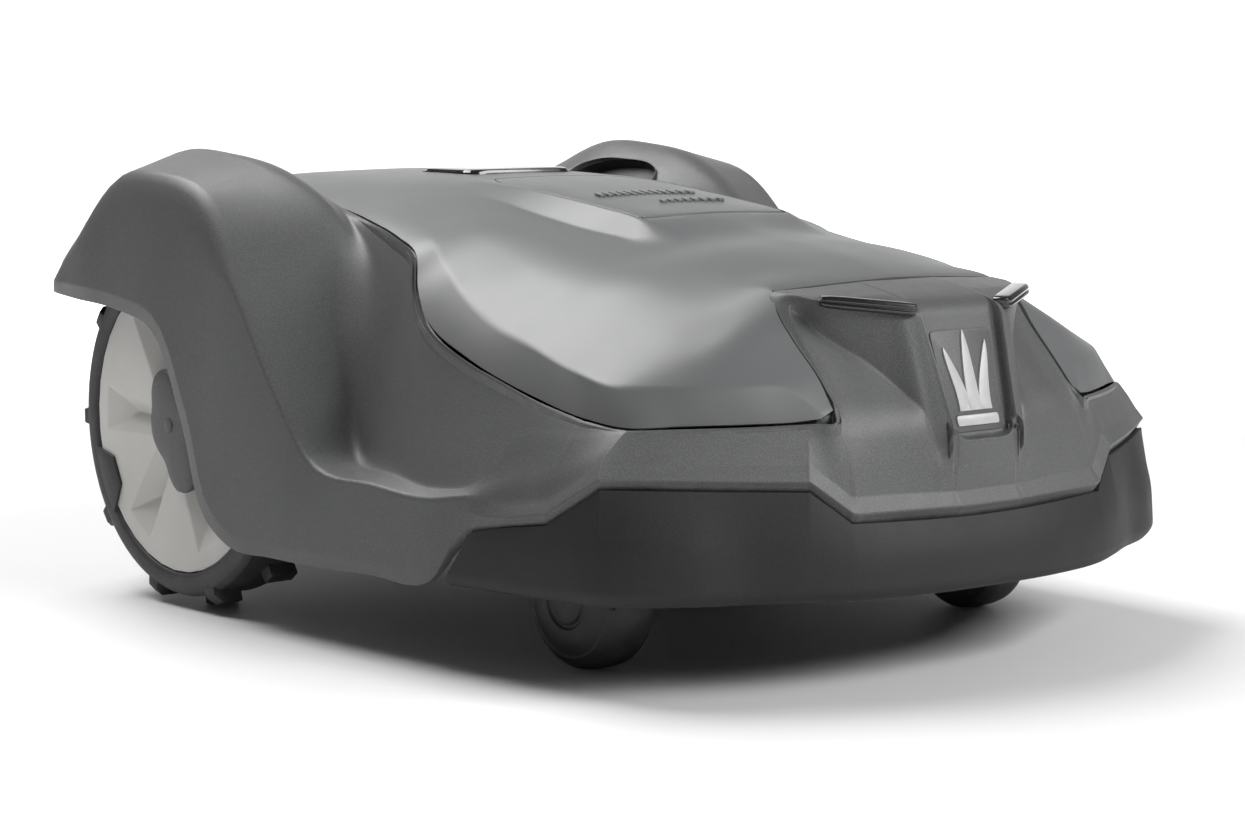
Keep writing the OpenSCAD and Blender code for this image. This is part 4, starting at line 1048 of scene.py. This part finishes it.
def build_cap(side):
    """Hub cap: a round boss with two uneven lobes, crowned towards the middle, and a plain screw."""
    curve = spline([about_z(r, angle, 0) for angle, r in CAP_LOBES], 3, True)
    outline = [(math.hypot(x, y), math.degrees(math.atan2(y, x))) for x, y, _ in curve]
    levels = ((1.0, 247), (1.0, 251.5), (0.96, 253), (0.82, 253.8), (0.5, 254.4), (0.2, 254.6))
    cap = loft("cap", [[polar(r * share, a, out) for r, a in outline] for share, out in levels])
    screw = loft("screw", [[polar(r, 30 * k, out) for k in range(12)]
                           for r, out in ((5, 253.5), (5, 255.2), (3, 255.6))])
    return on_side(join("hub_cap", [soften(cap, 0.5, 2, 35, 30), soften(screw, 0.3, 2, 35)]), side)


def build_castor(side):
    """Castor wheel: crowned tread, domed outer face with a groove and a hub ring."""
    profile = [(6, 148), (34, 148), (40, 150.5), (43.3, 155), (44, 160), (44, 172), (43, 178), (40, 182.5),
               (36, 185.2), (34.5, 184.6), (33, 185.6), (26, 187.2), (18.5, 187.8), (17.5, 186.3),
               (15.5, 186.3), (14.5, 188), (8, 188.4), (0.4, 188.4), (0.4, 184), (6, 184), (6, 148)]
    wheel = revolve("castor", profile, 72, lambda r, angle, out: polar(r, angle, out, CASTOR_AXLE))
    return on_side(soften(wheel, 0.5, 2, 30), side)


for name, side in SIDES:
    finish_piece(build_wheel_disc(side), f"wheel_{name}", "wheel_grey", f"wheel_disc_{name}")
    finish_piece(build_tyre(side), f"wheel_{name}", "tyre_rubber", f"tyre_{name}")
    finish_piece(build_cap(side), f"wheel_{name}", "cap_grey", f"wheel_cap_{name}")
    finish_piece(build_castor(side), f"castor_wheel_{name}", "rubber_black", f"castor_wheel_{name}")

# ---------- stage, light and camera

FLOOR_NEAR, FLOOR_FAR = -2600, 3400             # extent of the floor in x and in y
GLOW_FROM, GLOW_FULL, GLOW = 1.1, 2.8, 1.4      # metres from the middle, and the glow's strength
BACKDROP_SIDE = (0.646, 0.763, 0)               # direction of the middle of the white backdrop
BACKDROP_FROM, BACKDROP_FULL = 0.84, 0.975      # how much of that direction a view has to share
DARK_SIDE, WHITE_SIDE = 0.12, 1.3               # brightness away from the backdrop and on it
AIM = (0, 0, 0.1)                               # what both lights look at, in metres
CAMERA_AT = (-1345.0, -1582.5, 366.4)           # millimetres
AZIMUTH, ELEVATION = -40.24, 6.53               # degrees
LENS, SENSOR = 88.8, 36


def build_floor():
    """Pale floor that glows more with distance, so that it fades into the backdrop."""
    corners = [[(x, y, 0) for x in (FLOOR_NEAR, FLOOR_FAR)] for y in (FLOOR_FAR, FLOOR_NEAR)]
    floor = grid_mesh("floor", np.array(corners, float))
    g = Graph("floor")
    g.wire(g.ramp(g.noise(3, 2), ((0.0, 0.77), (1.0, 0.81))), g.shader.inputs["Base Color"])
    g.wire(g.scale_to(g.noise(8, 2), 0.6, 0.7), g.shader.inputs["Roughness"])
    reach = g.add("ShaderNodeVectorMath", operation="LENGTH")
    g.wire(g.place, reach.inputs[0])
    glow = g.scale_to(reach.outputs["Value"], 0.0, GLOW, GLOW_FROM, GLOW_FULL)
    g.set({"Emission Color": (1, 1, 1, 1)})
    g.wire(glow, g.shader.inputs["Emission Strength"])
    floor.data.materials.append(g.owner)


def area_light(name, at, size, power):
    lamp = bpy.data.lights.new(name, "AREA")
    lamp.shape = "RECTANGLE"
    lamp.size, lamp.size_y = size
    lamp.energy = power
    light = bpy.data.objects.new(name, lamp)
    light.location = at
    light.rotation_euler = (Vector(AIM) - Vector(at)).to_track_quat("-Z", "Y").to_euler()
    bpy.context.scene.collection.objects.link(light)


def build_world():
    """White backdrop behind the machine, darker studio on the other sides."""
    g = Graph("studio", bpy.data.worlds, "Background", "Generated")
    toward = g.add("ShaderNodeVectorMath", operation="DOT_PRODUCT")
    g.wire(g.place, toward.inputs[0])
    toward.inputs[1].default_value = BACKDROP_SIDE
    band = g.scale_to(toward.outputs["Value"], DARK_SIDE, WHITE_SIDE, BACKDROP_FROM, BACKDROP_FULL)
    g.set({"Color": (1, 1, 1, 1)})
    g.wire(band, g.shader.inputs["Strength"])
    bpy.context.scene.world = g.owner


def build_light():
    build_world()
    area_light("key", (-0.4, 1.5, 2.8), (2.3, 1.7), 118)
    area_light("fill", (0.9, -2.3, 1.7), (2.4, 1.0), 80)
    bpy.context.scene.view_settings.view_transform = "Standard"
    bpy.context.scene.view_settings.exposure = 0


def build_camera():
    data = bpy.data.cameras.new("camera")
    data.lens = LENS
    data.sensor_width = SENSOR
    camera = bpy.data.objects.new("camera", data)
    azimuth, elevation = math.radians(AZIMUTH), math.radians(ELEVATION)
    ahead = Vector((-math.sin(azimuth) * math.cos(elevation), math.cos(azimuth) * math.cos(elevation),
                    -math.sin(elevation)))
    camera.location = Vector(CAMERA_AT) * MM
    camera.rotation_euler = ahead.to_track_quat("-Z", "Y").to_euler()
    bpy.context.scene.collection.objects.link(camera)
    bpy.context.scene.camera = camera


build_floor()
build_light()
build_camera()
